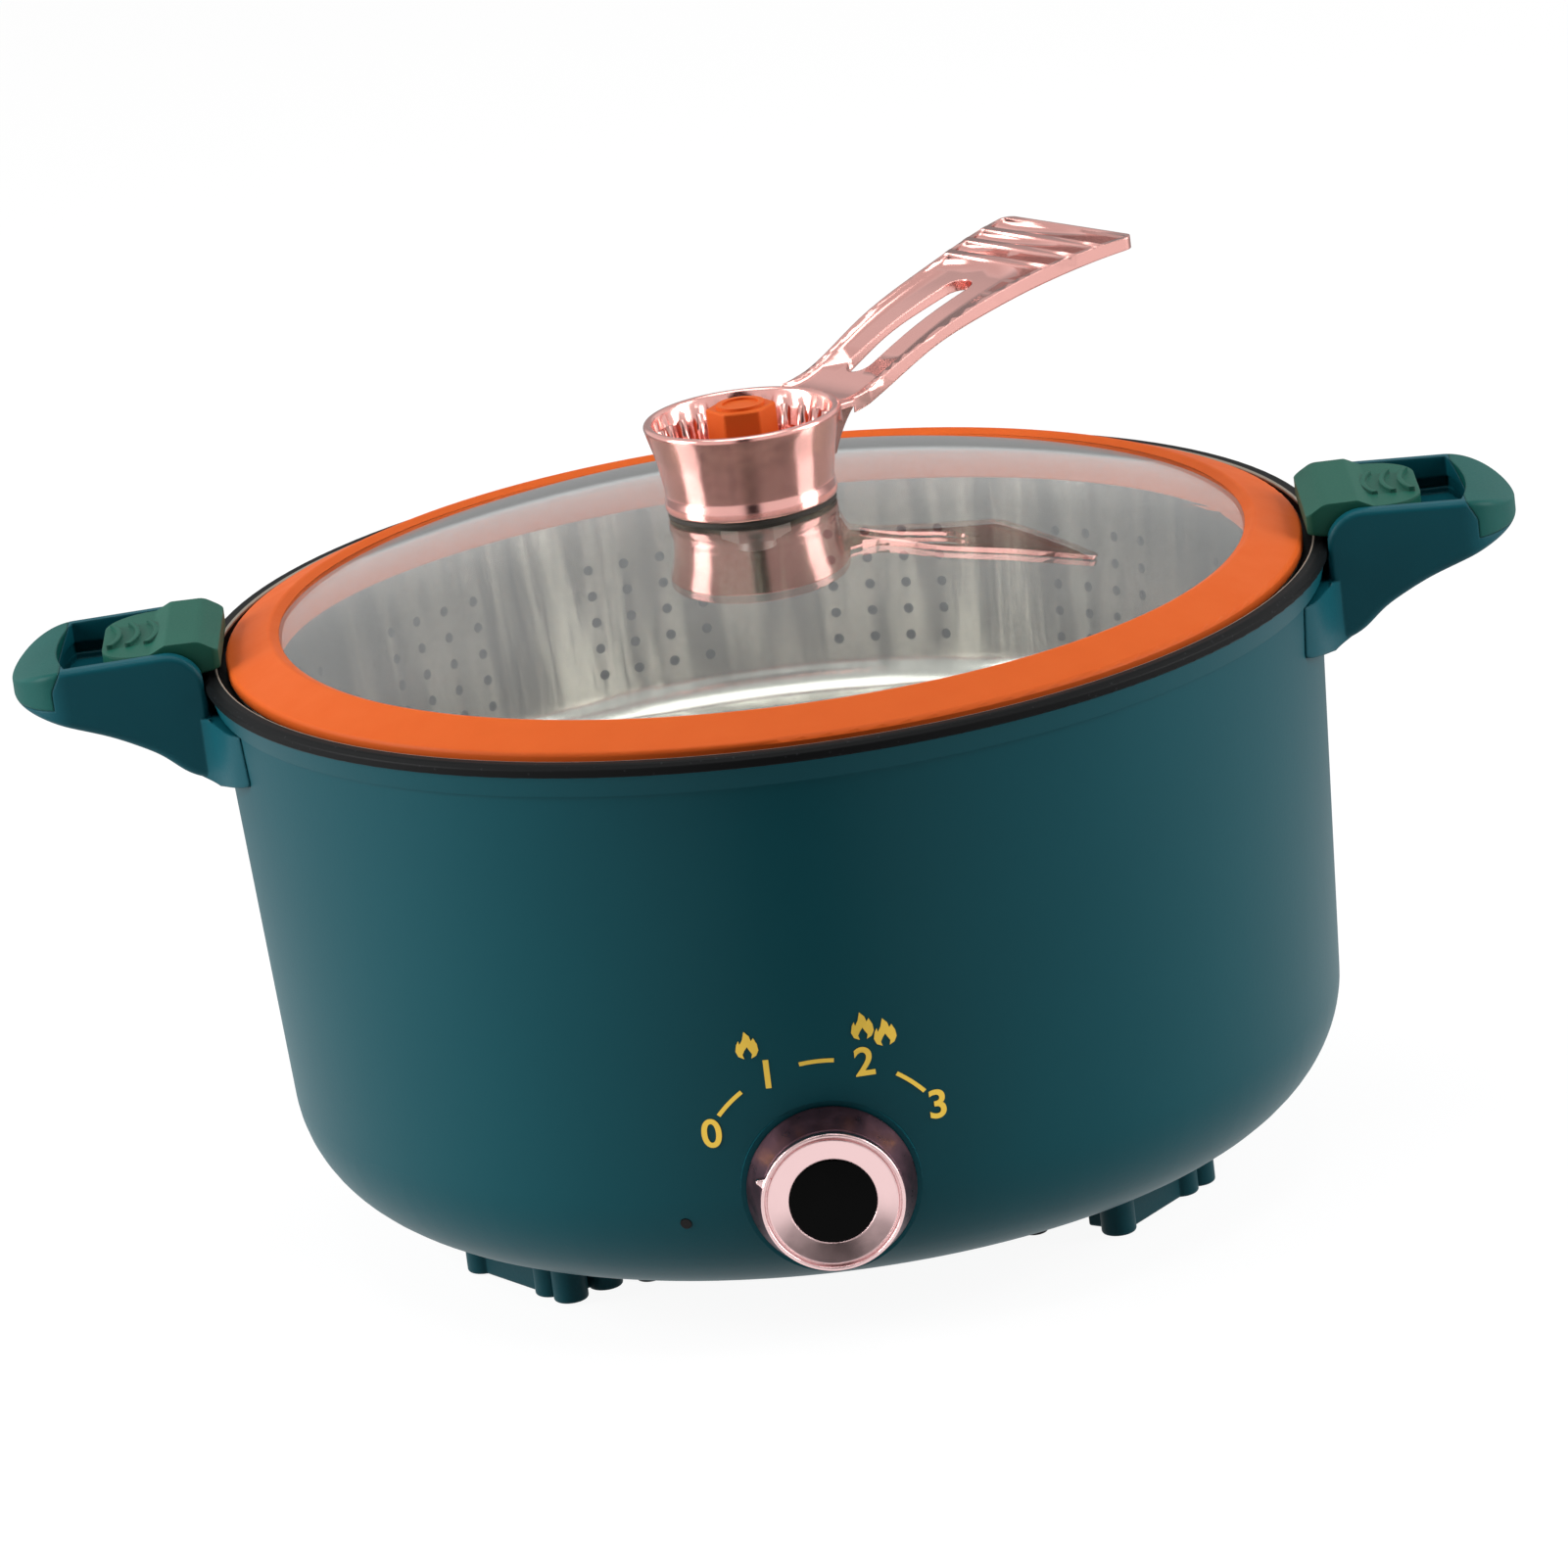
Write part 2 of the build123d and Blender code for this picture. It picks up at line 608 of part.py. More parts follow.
def cup_bore(height):
    """Inside radius of the cup between its floor and its rim."""
    low = CUP_WAIST_RADIUS - CUP_WALL
    high = CUP_RIM_RADIUS - CUP_WALL
    return low + (high - low) * (height - CUP_FLOOR_TOP) / (CUP_TOP - CUP_FLOOR_TOP)


def cup():
    hole = TUBE_RADIUS + SCREW_FREE
    body = lathe(
        (hole, CUP_LOW, 0),
        (CUP_FOOT_RADIUS, CUP_LOW, CUP_FOOT / 3),
        (CUP_FOOT_RADIUS, CUP_LOW + CUP_FOOT, CUP_FOOT / 4),
        (CUP_WAIST_RADIUS, CUP_LOW + CUP_WAIST, CUP_FOOT),
        (CUP_MID_RADIUS, CUP_LOW + CUP_MID, CUP_HEIGHT),
        (CUP_RIM_RADIUS, CUP_TOP, CUP_LIP_ROUND),
        (CUP_RIM_RADIUS - CUP_WALL, CUP_TOP, CUP_LIP_ROUND),
        (cup_bore(CUP_FLOOR_TOP), CUP_FLOOR_TOP, CUP_FLOOR / 2),
        (hole, CUP_FLOOR_TOP, 0),
    )
    low = CUP_FLOOR_TOP + RIB_MARGIN
    high = CUP_TOP - RIB_MARGIN
    band = lathe(
        (cup_bore(low) - RIB_DEEP, low, 0),
        (cup_bore(low) + CUP_WALL / 4, low, 0),
        (cup_bore(high) + CUP_WALL / 4, high, 0),
        (cup_bore(high) - RIB_DEEP, high, 0),
    )
    bar = Pos(0, 0, low) * Box(CUP_RIM_RADIUS, RIB_WIDTH, CUP_HEIGHT * 2)
    bars = [place * bar for place in PolarLocations(CUP_RIM_RADIUS / 2, CUP_RIBS)]
    return body + [band & bar for bar in bars]


ARM_START = CUP_RIM_RADIUS - CUP_WALL
ARM_INSIDE = ARM_START / 2
ARM_ROOT = CUP_TOP - ARM_ROOT_DROP


def arm_line(curve, lift):
    """A line of the arm in side view, from inside the cup's wall to the tip, raised by lift."""
    run = ARM_LENGTH - ARM_START
    line = Spline(*[(ARM_START + along * run, ARM_ROOT + up * ARM_RISE + lift) for along, up in curve])
    lead_in = Line((ARM_INSIDE, (line @ 0).Y), line @ 0)
    return Wire([lead_in, line])


def arm_top(lift):
    return arm_line(ARM_TOP_CURVE, lift)


def arm_low():
    return arm_line(ARM_LOW_CURVE, 0)


def between(upper, lower, half=ARM_LENGTH / 2):
    """Side profile between two lines that start and end above each other, thickened across the arm."""
    ends = [Line(upper @ 1, lower @ 1), Line(lower @ 0, upper @ 0)]
    return along_y(make_face([*upper.edges(), *lower.edges(), *ends]), half)


def arm_plan(inset):
    """Plan of the arm, inset from its edges and its tip, as a tall block."""
    run = ARM_LENGTH - inset - ARM_START
    stations = [(ARM_START + along * run, half - inset) for along, half in ARM_HALF_WIDTHS]
    left = Spline(*stations)
    right = Spline(*[(x, -y) for x, y in stations])
    tip = Line(left @ 1, right @ 1)
    root_half = (left @ 0).Y
    root = Polyline(left @ 0, (ARM_INSIDE, root_half), (ARM_INSIDE, -root_half), right @ 0)
    return upright(make_face([left, right, tip, *root.edges()]), CUP_LOW, CUP_TOP + 2 * ARM_RISE)


def arm_slot(grow):
    """Long hole down the middle of the arm, grown by a wall, as a tall block."""
    plan = SlotOverall(ARM_SLOT_LENGTH + 2 * grow, ARM_SLOT_WIDTH + 2 * grow)
    return upright(Pos(ARM_SLOT_START + ARM_SLOT_LENGTH / 2, 0) * plan, CUP_LOW, CUP_TOP + 2 * ARM_RISE)


def root_web():
    """Narrow web under the arm's root that runs down onto the cup's wall."""
    top = ARM_TOP_CURVE[:len(WEB_HEIGHTS)]
    low = [(along, height) for (along, _), height in zip(top, WEB_HEIGHTS)]
    return between(arm_line(top, -ARM_SKIN / 2), arm_line(low, 0), WEB_HALF)


def grip_arm():
    arm = between(arm_top(0), arm_low()) & arm_plan(0)
    tip_edges = arm.edges().filter_by(Axis.Z).group_by(Axis.X)[-1]
    arm = fillet(tip_edges, ARM_TIP_ROUND)
    dish = between(arm_top(ARM_EDGE), arm_top(-ARM_EDGE_DEEP)) & arm_plan(ARM_EDGE)
    below = Line((ARM_INSIDE, CUP_LOW), (ARM_LENGTH, CUP_LOW))
    hollow = between(arm_top(-ARM_SKIN), below) & arm_plan(ARM_EDGE)
    ridges = []
    for index in range(GRIP_RIBS):
        place = GRIP_FIRST + index * GRIP_PITCH
        bar = Pos(place, 0, CUP_TOP) * Box(GRIP_RIB_WIDTH, ARM_LENGTH, ARM_RISE * 4)
        ridges.append(bar)
    band = between(arm_top(GRIP_RIB_HIGH - ARM_EDGE_DEEP), arm_top(-ARM_SKIN / 2)) & arm_plan(0)
    wall = arm_slot(ARM_EDGE)
    arm = arm - dish - (hollow - wall) + root_web() - arm_slot(0)
    for ridge in ridges:
        arm += band & ridge
    return arm


def lid_handle():
    inside = CUP_WALL / 2
    keep_out = lathe(
        (0, CUP_FLOOR_TOP, 0),
        (cup_bore(CUP_FLOOR_TOP) + inside, CUP_FLOOR_TOP, 0),
        (cup_bore(CUP_TOP) + inside, CUP_TOP, 0),
        (cup_bore(CUP_TOP) + inside, CUP_TOP + ARM_RISE, 0),
        (0, CUP_TOP + ARM_RISE, 0),
    )
    arm = turned(grip_arm() - keep_out, ARM_TURN)
    return cup() + arm


def cup_washer():
    disc = Pos(0, 0, CUP_LOW - WASHER_THICK) * Cylinder(CUP_WAIST_RADIUS, WASHER_THICK * 4)
    disc &= Pos(0, 0, CUP_LOW - CUT / 2) * Cylinder(CUP_WAIST_RADIUS, CUT)
    disc -= glass_body(0, GLASS_RADIUS, 0)
    return disc - Pos(0, 0, CUP_LOW) * Cylinder(TUBE_RADIUS + SCREW_FREE, CUT)


def glass_under():
    """Underside of the glass next to its hole."""
    return dome(LOW_WASHER_RADIUS, GLASS_THICK)


def glass_washer():
    high = dome(TUBE_RADIUS, GLASS_THICK)
    low = glass_under() - LOW_WASHER_THICK
    disc = upright(Circle(LOW_WASHER_RADIUS) - Circle(TUBE_RADIUS + SCREW_FREE), low, high)
    return disc - glass_body(0, GLASS_RADIUS, 0)


def lid_nut():
    high = glass_under() - LOW_WASHER_THICK
    plan = RegularPolygon(NUT_FLATS / 2, 6, major_radius=False) - Circle(TUBE_RADIUS + RUN)
    return upright(plan, high - NUT_THICK, high)


def vent_tube():
    low = glass_under() - LOW_WASHER_THICK - NUT_THICK - TUBE_TAIL
    tube = upright(Circle(TUBE_RADIUS), low, TUBE_TOP)
    flange = upright(Circle(TUBE_FLANGE), SEAT_TOP, SEAT_TOP + TUBE_FLANGE_THICK)
    bore = upright(Circle(TUBE_BORE), low - CUT, TUBE_TOP + CUT)
    return tube + flange - bore


def valve_seat():
    return upright(Circle(SEAT_RADIUS) - Circle(TUBE_RADIUS + SCREW_FREE), CUP_FLOOR_TOP, SEAT_TOP)


def valve_cap():
    low = TUBE_TOP + LIFT - CAP_SOCKET
    high = low + CAP_HEIGHT
    cap = upright(RegularPolygon(CAP_CORNERS / 2, 6), low, high)
    cap = fillet(cap.edges().filter_by(Axis.Z), CAP_ROUND)
    cap = fillet(cap.edges().group_by(Axis.Z)[-1], CAP_ROUND / 2)
    cap += upright(Circle(CAP_DISC_RADIUS), high - CAP_DISC_HEIGHT, high + CAP_DISC_HEIGHT)
    cap -= upright(Circle(CAP_DIMPLE_RADIUS), high + CAP_DISC_HEIGHT - CAP_DIMPLE, high + CUT)
    return cap - upright(Circle(TUBE_RADIUS + LIFT), low - CUT, low + CAP_SOCKET)


# Side handles, drawn for the +X side
def handle_under():
    """S-curve along the underside, from the root out to the tip."""
    run = HANDLE_REACH - SHELL_RADIUS
    drop = CAP_SPLIT - ROOT_LOW
    return Spline(*[(SHELL_RADIUS + along * run, CAP_SPLIT - part * drop) for along, part in HANDLE_UNDER])


def handle_plan(low, high):
    """Outline of the whole handle in plan, with an oval end."""
    inner = HANDLE_WALL_IN - CUT
    bar = Pos((inner + HANDLE_END_START) / 2, 0) * Rectangle(HANDLE_END_START - inner, 2 * HANDLE_HALF)
    end = Pos(HANDLE_END_START, 0) * Ellipse(HANDLE_REACH - HANDLE_END_START, HANDLE_HALF)
    return upright(bar + end, low, high)


def cap_split(free):
    """Region of the end cap: above the split line, outside a face that leans in near its top."""
    high = HANDLE_TOP + CUT
    bend = (CAP_SPLIT + HANDLE_END_TOP) / 2
    lean = CAP_LEAN * (high - bend) / (HANDLE_END_TOP - bend)
    far = HANDLE_REACH + CUT
    face = outline(
        (CAP_START + free, CAP_SPLIT + free, 0),
        (far, CAP_SPLIT + free, 0),
        (far, high, 0),
        (CAP_START + free - lean, high, 0),
        (CAP_START + free, bend, CAP_LEAN),
    )
    return along_y(face, HANDLE_HALF * 2)


def pocket(half):
    """Channel for the latch, with a shallow round end."""
    inner = SHELL_RADIUS - CUT / 2
    side = POCKET_END - POCKET_SAG
    end = ThreePointArc((side, -half), (POCKET_END, 0), (side, half))
    rest = Polyline((side, half), (inner, half), (inner, -half), (side, -half))
    return make_face([end, *rest.edges()])


def latch_room():
    room = upright(pocket(CHANNEL_HALF), CHANNEL_FLOOR, HANDLE_TOP + CUT)
    low = CHANNEL_FLOOR + RAIL_LIFT
    return room + upright(pocket(CHANNEL_HALF + RAIL_WIDTH + SLIDE), low, low + RAIL_HEIGHT + 2 * SLIDE)


def handle_side_face():
    """Side view of the base and cap together; the oval end in plan trims its outer end."""
    under = handle_under()
    far = under @ 1
    top = Vector(HANDLE_END_START, HANDLE_END_TOP)
    fall = (HANDLE_TOP - HANDLE_END_TOP) / (HANDLE_END_START - HANDLE_WALL_IN)
    crown = TangentArc(top, (far.X, HANDLE_END_TOP - CAP_END_DROP), tangent=(1, -fall))
    end = Line(far, crown @ 1)
    start = under @ 0
    rest = FilletPolyline(
        top,
        (HANDLE_WALL_IN, HANDLE_TOP),
        (HANDLE_WALL_IN, ROOT_TOP),
        (start.X, ROOT_TOP),
        start,
        radius=(HANDLE_WALL_ROUND, HANDLE_EDGE, 0),
    )
    return make_face([under, end, crown, *rest.edges()])


def handle_root():
    """Pad that spreads along the wall of the pot."""
    inner = SHELL_RADIUS - CUT / 2
    spread = ROOT_HALF - HANDLE_HALF
    edge = [(SHELL_RADIUS + out, HANDLE_HALF + part * spread) for out, part in ROOT_PLAN]
    near = Spline(*edge)
    far = Spline(*[(x, -y) for x, y in edge])
    sides = Polyline(near @ 1, (inner, ROOT_HALF), (inner, -ROOT_HALF), far @ 1)
    front = Line(far @ 0, near @ 0)
    plan = upright(make_face([near, *sides.edges(), far, front]), SHELL_LOW, HANDLE_TOP)
    half_view = [
        (ROOT_BEND, ROOT_LOW), (ROOT_HALF, ROOT_END_LOW), (ROOT_HALF, ROOT_END_TOP), (HANDLE_HALF, ROOT_TOP),
    ]
    other_half = [(-across, height) for across, height in reversed(half_view)]
    rounds = (0, ROOT_CORNER, ROOT_CORNER, 0, 0, ROOT_CORNER, ROOT_CORNER, 0)
    elevation = make_face(FilletPolyline(*half_view, *other_half, radius=rounds, close=True))
    root = plan & extrude(Plane.YZ * elevation, HANDLE_REACH)
    return root & along_y(handle_side_face(), ROOT_HALF * 2)


def handle_body():
    """Base and cap together, with the long edges rounded above and below."""
    body = along_y(handle_side_face(), HANDLE_HALF) & handle_plan(SHELL_LOW, HANDLE_TOP + CUT)
    upper = body.edges().filter_by(lambda edge: on_outline(edge.center()) and edge.center().Z > CAP_SPLIT)
    body = fillet(upper, HANDLE_TOP_ROUND)
    lower = body.edges().filter_by(lambda edge: on_outline(edge.center()) and edge.center().Z < CAP_SPLIT)
    return fillet(lower, HANDLE_LOW_ROUND)


def on_outline(point):
    """True for points on the handle's long sides or its oval end, clear of the pot and the tangent seams."""
    seam = abs(point.X - HANDLE_END_START) < SEAT
    side = abs(point.Y) > HANDLE_HALF - SEAT
    oval = point.X > HANDLE_END_START and abs(point.Y) < HANDLE_HALF
    return point.X > RIM_RADIUS and (side or oval) and not seam


def pot_keep_out():
    """Shell and rim of the pot with the room the handles leave round them."""
    return shell_body(SEAT) + upright(Circle(RIM_RADIUS + RIM_FREE), SHELL_TOP - RIM_FREE, HANDLE_TOP + CUT)


def handle_base():
    base = handle_body() - cap_split(0) + handle_root()
    base -= latch_room()
    base -= pot_keep_out()
    for across in (-1, 1):
        hole = Pos(SHELL_RADIUS, across * HANDLE_SCREW_SPREAD, HANDLE_SCREW_HEIGHT) * Rot(0, 90, 0)
        base -= hole * Cylinder(HANDLE_SCREW_RADIUS + RUN, 2 * (HANDLE_SCREW_BITE + SEAT))
    return base


def handle_cap():
    cap = handle_body() & cap_split(SEAT)
    return cap - latch_room()


def latch():
    tip = GASKET_RADIUS + LATCH_CLEAR
    half = CHANNEL_HALF - SLIDE
    low = CHANNEL_FLOOR + SLIDE
    slope = (NOSE_TOP - NOSE_TIP_TOP) / NOSE_RAMP
    side = outline(
        (tip - NOSE_ROUND, NOSE_LOW, 0),
        (tip - NOSE_ROUND, NOSE_TIP_TOP - slope * NOSE_ROUND, 0),
        (tip + NOSE_RAMP, NOSE_TOP, NOSE_RAMP),
        (NOSE_END, NOSE_TOP, NOSE_ROUND),
        (NOSE_END + 2 * NOSE_ROUND, LATCH_TOP, NOSE_ROUND),
        (LATCH_TAIL + NOSE_ROUND, LATCH_TAIL_TOP, 0),
        (LATCH_TAIL + NOSE_ROUND, low, 0),
        (NOSE_END, low, NOSE_ROUND / 2),
        (NOSE_END - 2 * NOSE_ROUND, NOSE_UNDER, NOSE_ROUND / 2),
        (tip + NOSE_RAMP, NOSE_UNDER, NOSE_ROUND / 2),
    )
    plan = outline(
        (tip, -half, NOSE_ROUND),
        (LATCH_TAIL, -half, LATCH_TAIL_ROUND),
        (LATCH_TAIL, half, LATCH_TAIL_ROUND),
        (tip, half, NOSE_ROUND),
    )
    piece = along_y(side, half * 2) & upright(plan, low - CUT, NOSE_TOP + CUT)
    rail_low = low + RAIL_LIFT
    rail_end = LATCH_TAIL - LATCH_TAIL_ROUND
    rail_start = NOSE_END + NOSE_ROUND
    rail = Pos((rail_start + rail_end) / 2, 0) * Rectangle(rail_end - rail_start, 2 * (half + RAIL_WIDTH))
    piece += upright(rail, rail_low, rail_low + RAIL_HEIGHT)
    for index in range(RIDGES):
        place = NOSE_END + RIDGE_FIRST + index * RIDGE_PITCH
        ring = Circle(RIDGE_RADIUS + RIDGE_WIDTH / 2) - Circle(RIDGE_RADIUS - RIDGE_WIDTH / 2)
        window = Pos(-RIDGE_RADIUS, 0) * Rectangle(RIDGE_RADIUS, RIDGE_HALF * 2)
        crescent = Pos(place + RIDGE_RADIUS, 0) * (ring & window)
        piece += upright(crescent, LATCH_TAIL_TOP - RIDGE_HIGH, LATCH_TOP + RIDGE_HIGH)
    return piece


def handle_screws():
    screws = []
    inside = sqrt((shell_radius(HANDLE_SCREW_HEIGHT - HANDLE_SCREW_HEAD) - SHELL_WALL) ** 2
                  - (HANDLE_SCREW_SPREAD + HANDLE_SCREW_HEAD) ** 2) - SEAT
    for across in (-1, 1):
        place = Pos(inside, across * HANDLE_SCREW_SPREAD, HANDLE_SCREW_HEIGHT) * Rot(0, 90, 0)
        head = upright(Circle(HANDLE_SCREW_HEAD), -HANDLE_SCREW_HEAD_THICK, 0)
        reach = SHELL_RADIUS + HANDLE_SCREW_BITE - inside
        shank = upright(Circle(HANDLE_SCREW_RADIUS), 0, reach)
        screws.append(place * (head + shank))
    return Compound(children=screws)


# Knob pieces, drawn on the boss face with Z pointing out
def knob_skirt():
    front = KNOB_DEPTH - KNOB_RING_THICK
    hub_low = BUSH_OUT + HUB_CLEAR
    skirt = lathe(
        (0, KNOB_GAP, 0),
        (KNOB_RADIUS, KNOB_GAP, SOFT),
        (KNOB_FRONT_RADIUS, front, 0),
        (0, front, 0),
    )
    skirt -= upright(Circle(KNOB_FRONT_RADIUS - KNOB_WALL), 0, hub_low)
    skirt -= upright(Circle(KNOB_FRONT_RADIUS - KNOB_WALL) - Circle(KNOB_HUB), 0, front - KNOB_WALL)
    return knob_seat * (skirt - d_shaft(RUN / 2, 0, front - KNOB_WALL / 4))


def d_shaft(free, low, high):
    """Round shaft with one flat, grown by a clearance."""
    flat = Pos(SHAFT_FLAT + SHAFT_RADIUS + free, 0) * Rectangle(SHAFT_RADIUS * 2, SHAFT_RADIUS * 4)
    return upright(Circle(SHAFT_RADIUS + free) - flat, low, high)


def knob_ring():
    low = KNOB_DEPTH - KNOB_RING_THICK
    lip = KNOB_FRONT_RADIUS - RING_LIP
    dish = lip - RING_GROOVE
    ring = lathe(
        (DISC_RADIUS, low, 0),
        (KNOB_FRONT_RADIUS, low, 0),
        (KNOB_FRONT_RADIUS, KNOB_DEPTH, RING_LIP / 3),
        (lip, KNOB_DEPTH, RING_LIP / 3),
        (lip, KNOB_DEPTH - GROOVE_DEEP, 0),
        (dish, KNOB_DEPTH - GROOVE_DEEP, 0),
        (dish, KNOB_DEPTH - DISC_SUNK / 3, RING_GROOVE / 3),
        (DISC_RADIUS, KNOB_DEPTH - DISC_SUNK, 0),
    )
    tab = outline(
        (-POINTER_HALF, 0, 0),
        (0, POINTER_REACH + KNOB_RING_THICK, SOFT),
        (POINTER_HALF, 0, 0),
    )
    tab = upright(Pos(0, KNOB_FRONT_RADIUS - KNOB_RING_THICK) * tab, low, low + POINTER_THICK)
    ring += turned(tab, POINTER_TURN)
    return knob_seat * ring


def knob_disc():
    low = KNOB_DEPTH - KNOB_RING_THICK
    high = KNOB_DEPTH - DISC_SUNK
    edge = DISC_RADIUS - SEAT / 2
    return knob_seat * lathe((0, low, 0), (edge, low, 0), (edge, high, SOFT), (0, high, 0))


def control_shaft():
    low = -SHELL_WALL - SEAT - BRACKET_THICK - STAT_DEPTH + STAT_ROUND
    hub_low = BUSH_OUT + HUB_CLEAR
    front = KNOB_DEPTH - KNOB_RING_THICK - KNOB_WALL / 4
    plain = upright(Circle(SHAFT_RADIUS), low, hub_low)
    return knob_seat * (plain + d_shaft(0, hub_low, front - SEAT))


def thermostat():
    face = -SHELL_WALL - SEAT - BRACKET_THICK
    body = upright(RectangleRounded(STAT_WIDTH, STAT_HEIGHT, STAT_ROUND), face - STAT_DEPTH, face)
    body += upright(Circle(BUSH_RADIUS), face, BUSH_OUT)
    body -= upright(Circle(SHAFT_RADIUS + RUN), face - STAT_DEPTH + STAT_ROUND - SEAT, BUSH_OUT + CUT)
    return knob_seat * body


def thermostat_bracket():
    high = -SHELL_WALL - SEAT
    plate = RectangleRounded(BRACKET_WIDTH, BRACKET_HEIGHT, STAT_ROUND) - Circle(BUSH_RADIUS + SCREW_FREE)
    return knob_seat * upright(plate, high - BRACKET_THICK, high)


def thermostat_tabs():
    high = -SHELL_WALL - SEAT - BRACKET_THICK - STAT_DEPTH
    tab = upright(Rectangle(TAB_WIDTH, TAB_THICK), high - TAB_LENGTH, high)
    return Compound(children=[knob_seat * (Pos(side * TAB_SPREAD, 0, 0) * tab) for side in (-1, 1)])


def bush_nut():
    plan = RegularPolygon(BUSH_NUT_FLATS / 2, 6, major_radius=False) - Circle(BUSH_RADIUS + RUN)
    return knob_seat * upright(plan, 0, BUSH_NUT_THICK)


def indicator_lens():
    back = -SHELL_WALL - LENS_SET
    pin = upright(Circle(LENS_RADIUS), back, LENS_PROUD)
    flange = upright(Circle(LENS_FLANGE), back - LENS_FLANGE_THICK, back)
    return lamp_plane() * (pin + flange)


def indicator_lamp():
    high = -SHELL_WALL - LENS_SET - LENS_FLANGE_THICK
    bulb = upright(Circle(LAMP_RADIUS), high - LAMP_LENGTH, high)
    return lamp_plane() * fillet(bulb.edges().group_by(Axis.Z)[0], LAMP_RADIUS / 2)


# Base cover, feet and pads
def foot_plan():
    """Bar with one lobe at its narrow end and three at its wide end, X along the rim, Y = 0 outside."""
    corners = [(FOOT_HALF, 0), (FOOT_HALF, -FOOT_NARROW), (-FOOT_HALF, -FOOT_WIDTH), (-FOOT_HALF, 0)]
    bar = make_face(Polyline(*corners, close=True))
    shallow = LOBE_RADIUS / 2
    deep = FOOT_WIDTH - shallow
    lobes = [(LOBE_SINGLE, shallow), (LOBE_NEAR, shallow), (LOBE_FAR, shallow), (LOBE_FAR, deep)]
    for along, depth in lobes:
        bar += Pos(along, -depth) * Circle(LOBE_RADIUS)
    return bar


def foot_place(angle):
    """Foot position: angle from the front, turned so that its outer face points out."""
    return Rot(0, 0, angle) * Pos(0, -FOOT_OUT, 0) * Rot(0, 0, 180)


def foot_pad_slot(grow, low, high):
    pad = Pos(0, -FOOT_WIDTH / 2) * SlotOverall(PAD_LENGTH + 2 * grow, PAD_WIDTH + 2 * grow)
    return upright(pad, low, high)


def base_cover():
    cover = upright(Circle(FLAT_RADIUS - COVER_INSET), COVER_LOW, COVER_TOP)
    lip = OPENING_RADIUS - COVER_LIP_FREE
    cover += upright(Circle(lip) - Circle(lip - COVER_LIP_WALL), COVER_LOW, COVER_TOP + COVER_LIP)
    vent = Pos(VENT_RADIUS, 0) * SlotOverall(VENT_LENGTH, VENT_WIDTH)
    for index in range(VENTS):
        cover -= upright(Rot(0, 0, index * 360 / VENTS) * vent, COVER_LOW - CUT, COVER_TOP + CUT)
    for angle in FOOT_TURNS:
        foot = upright(foot_plan(), PAD_PROUD, COVER_TOP)
        foot = fillet(foot.edges().group_by(Axis.Z)[0], FOOT_EDGE)
        foot -= foot_pad_slot(SEAT, -CUT, PAD_THICK + SEAT)
        cover += foot_place(angle) * foot
    for angle in screw_turns():
        hole = Pos(BASE_SCREW_CIRCLE, 0, COVER_LOW) * Cylinder(BASE_SCREW_RADIUS + SCREW_FREE, CUT / 6)
        cover -= turned(hole, angle)
    return cover


def foot_pads():
    return Compound(children=[foot_place(angle) * foot_pad_slot(0, 0, PAD_THICK) for angle in FOOT_TURNS])


def base_screws():
    screws = []
    for angle in screw_turns():
        head = upright(Circle(BASE_SCREW_HEAD), COVER_LOW - BASE_SCREW_HEAD_THICK, COVER_LOW)
        head = fillet(head.edges().group_by(Axis.Z)[0], BASE_SCREW_HEAD_THICK / 3)
        shank = upright(Circle(BASE_SCREW_RADIUS), COVER_LOW, COVER_LOW + BASE_SCREW_LENGTH)
        screws.append(turned(Pos(BASE_SCREW_CIRCLE, 0, 0) * (head + shank), angle))
    return Compound(children=screws)


# Heater
HEATER_LEVEL = PLATE_LOW - HEATER_TUBE - SEAT


def heater_end(side):
    """End of the heater's ring and the direction along it, at the side's edge of the rear gap."""
    angle = radians(90 - side * HEATER_GAP)
    end = Vector(HEATER_CIRCLE * cos(angle), HEATER_CIRCLE * sin(angle), HEATER_LEVEL)
    along = Vector(sin(angle), -cos(angle), 0) * side
    return end, along


def heater_pin_top(side):
    end, along = heater_end(side)
    return end - along * HEATER_BEND - Vector(0, 0, HEATER_BEND + HEATER_DROP)


def heat_plate():
    return upright(Circle(PLATE_RADIUS), PLATE_LOW, POT_UNDER - SEAT)


def heater_tube():
    right, along_right = heater_end(1)
    left, along_left = heater_end(-1)
    ring = ThreePointArc(right, (0, -HEATER_CIRCLE, HEATER_LEVEL), left)
    edges = [ring]
    for end, along, side in ((right, along_right, 1), (left, along_left, -1)):
        centre = end - Vector(0, 0, HEATER_BEND)
        middle = centre + (Vector(0, 0, 1) - along) * (HEATER_BEND / sqrt(2))
        start = centre - along * HEATER_BEND
        edges.append(ThreePointArc(end, middle, start))
        edges.append(Line(start, heater_pin_top(side)))
    path = Wire(edges)
    low = heater_pin_top(1)
    section = Plane(origin=low, z_dir=(0, 0, 1)) * Circle(HEATER_TUBE)
    return sweep(section, path=path)


def heater_pins():
    pins = []
    for side in (-1, 1):
        top = heater_pin_top(side)
        pins.append(Pos(top.X, top.Y, top.Z - PIN_LENGTH) * extrude(Circle(PIN_RADIUS), PIN_LENGTH))
    return Compound(children=pins)


def thermal_cutout():
    body = upright(Circle(CUTOUT_RADIUS), PLATE_LOW - SEAT - CUTOUT_HEIGHT, PLATE_LOW - SEAT)
    return fillet(body.edges().group_by(Axis.Z)[0], SHEET)


CUTOUT_TAB_LEVEL = PLATE_LOW - CUTOUT_TAB_DROP


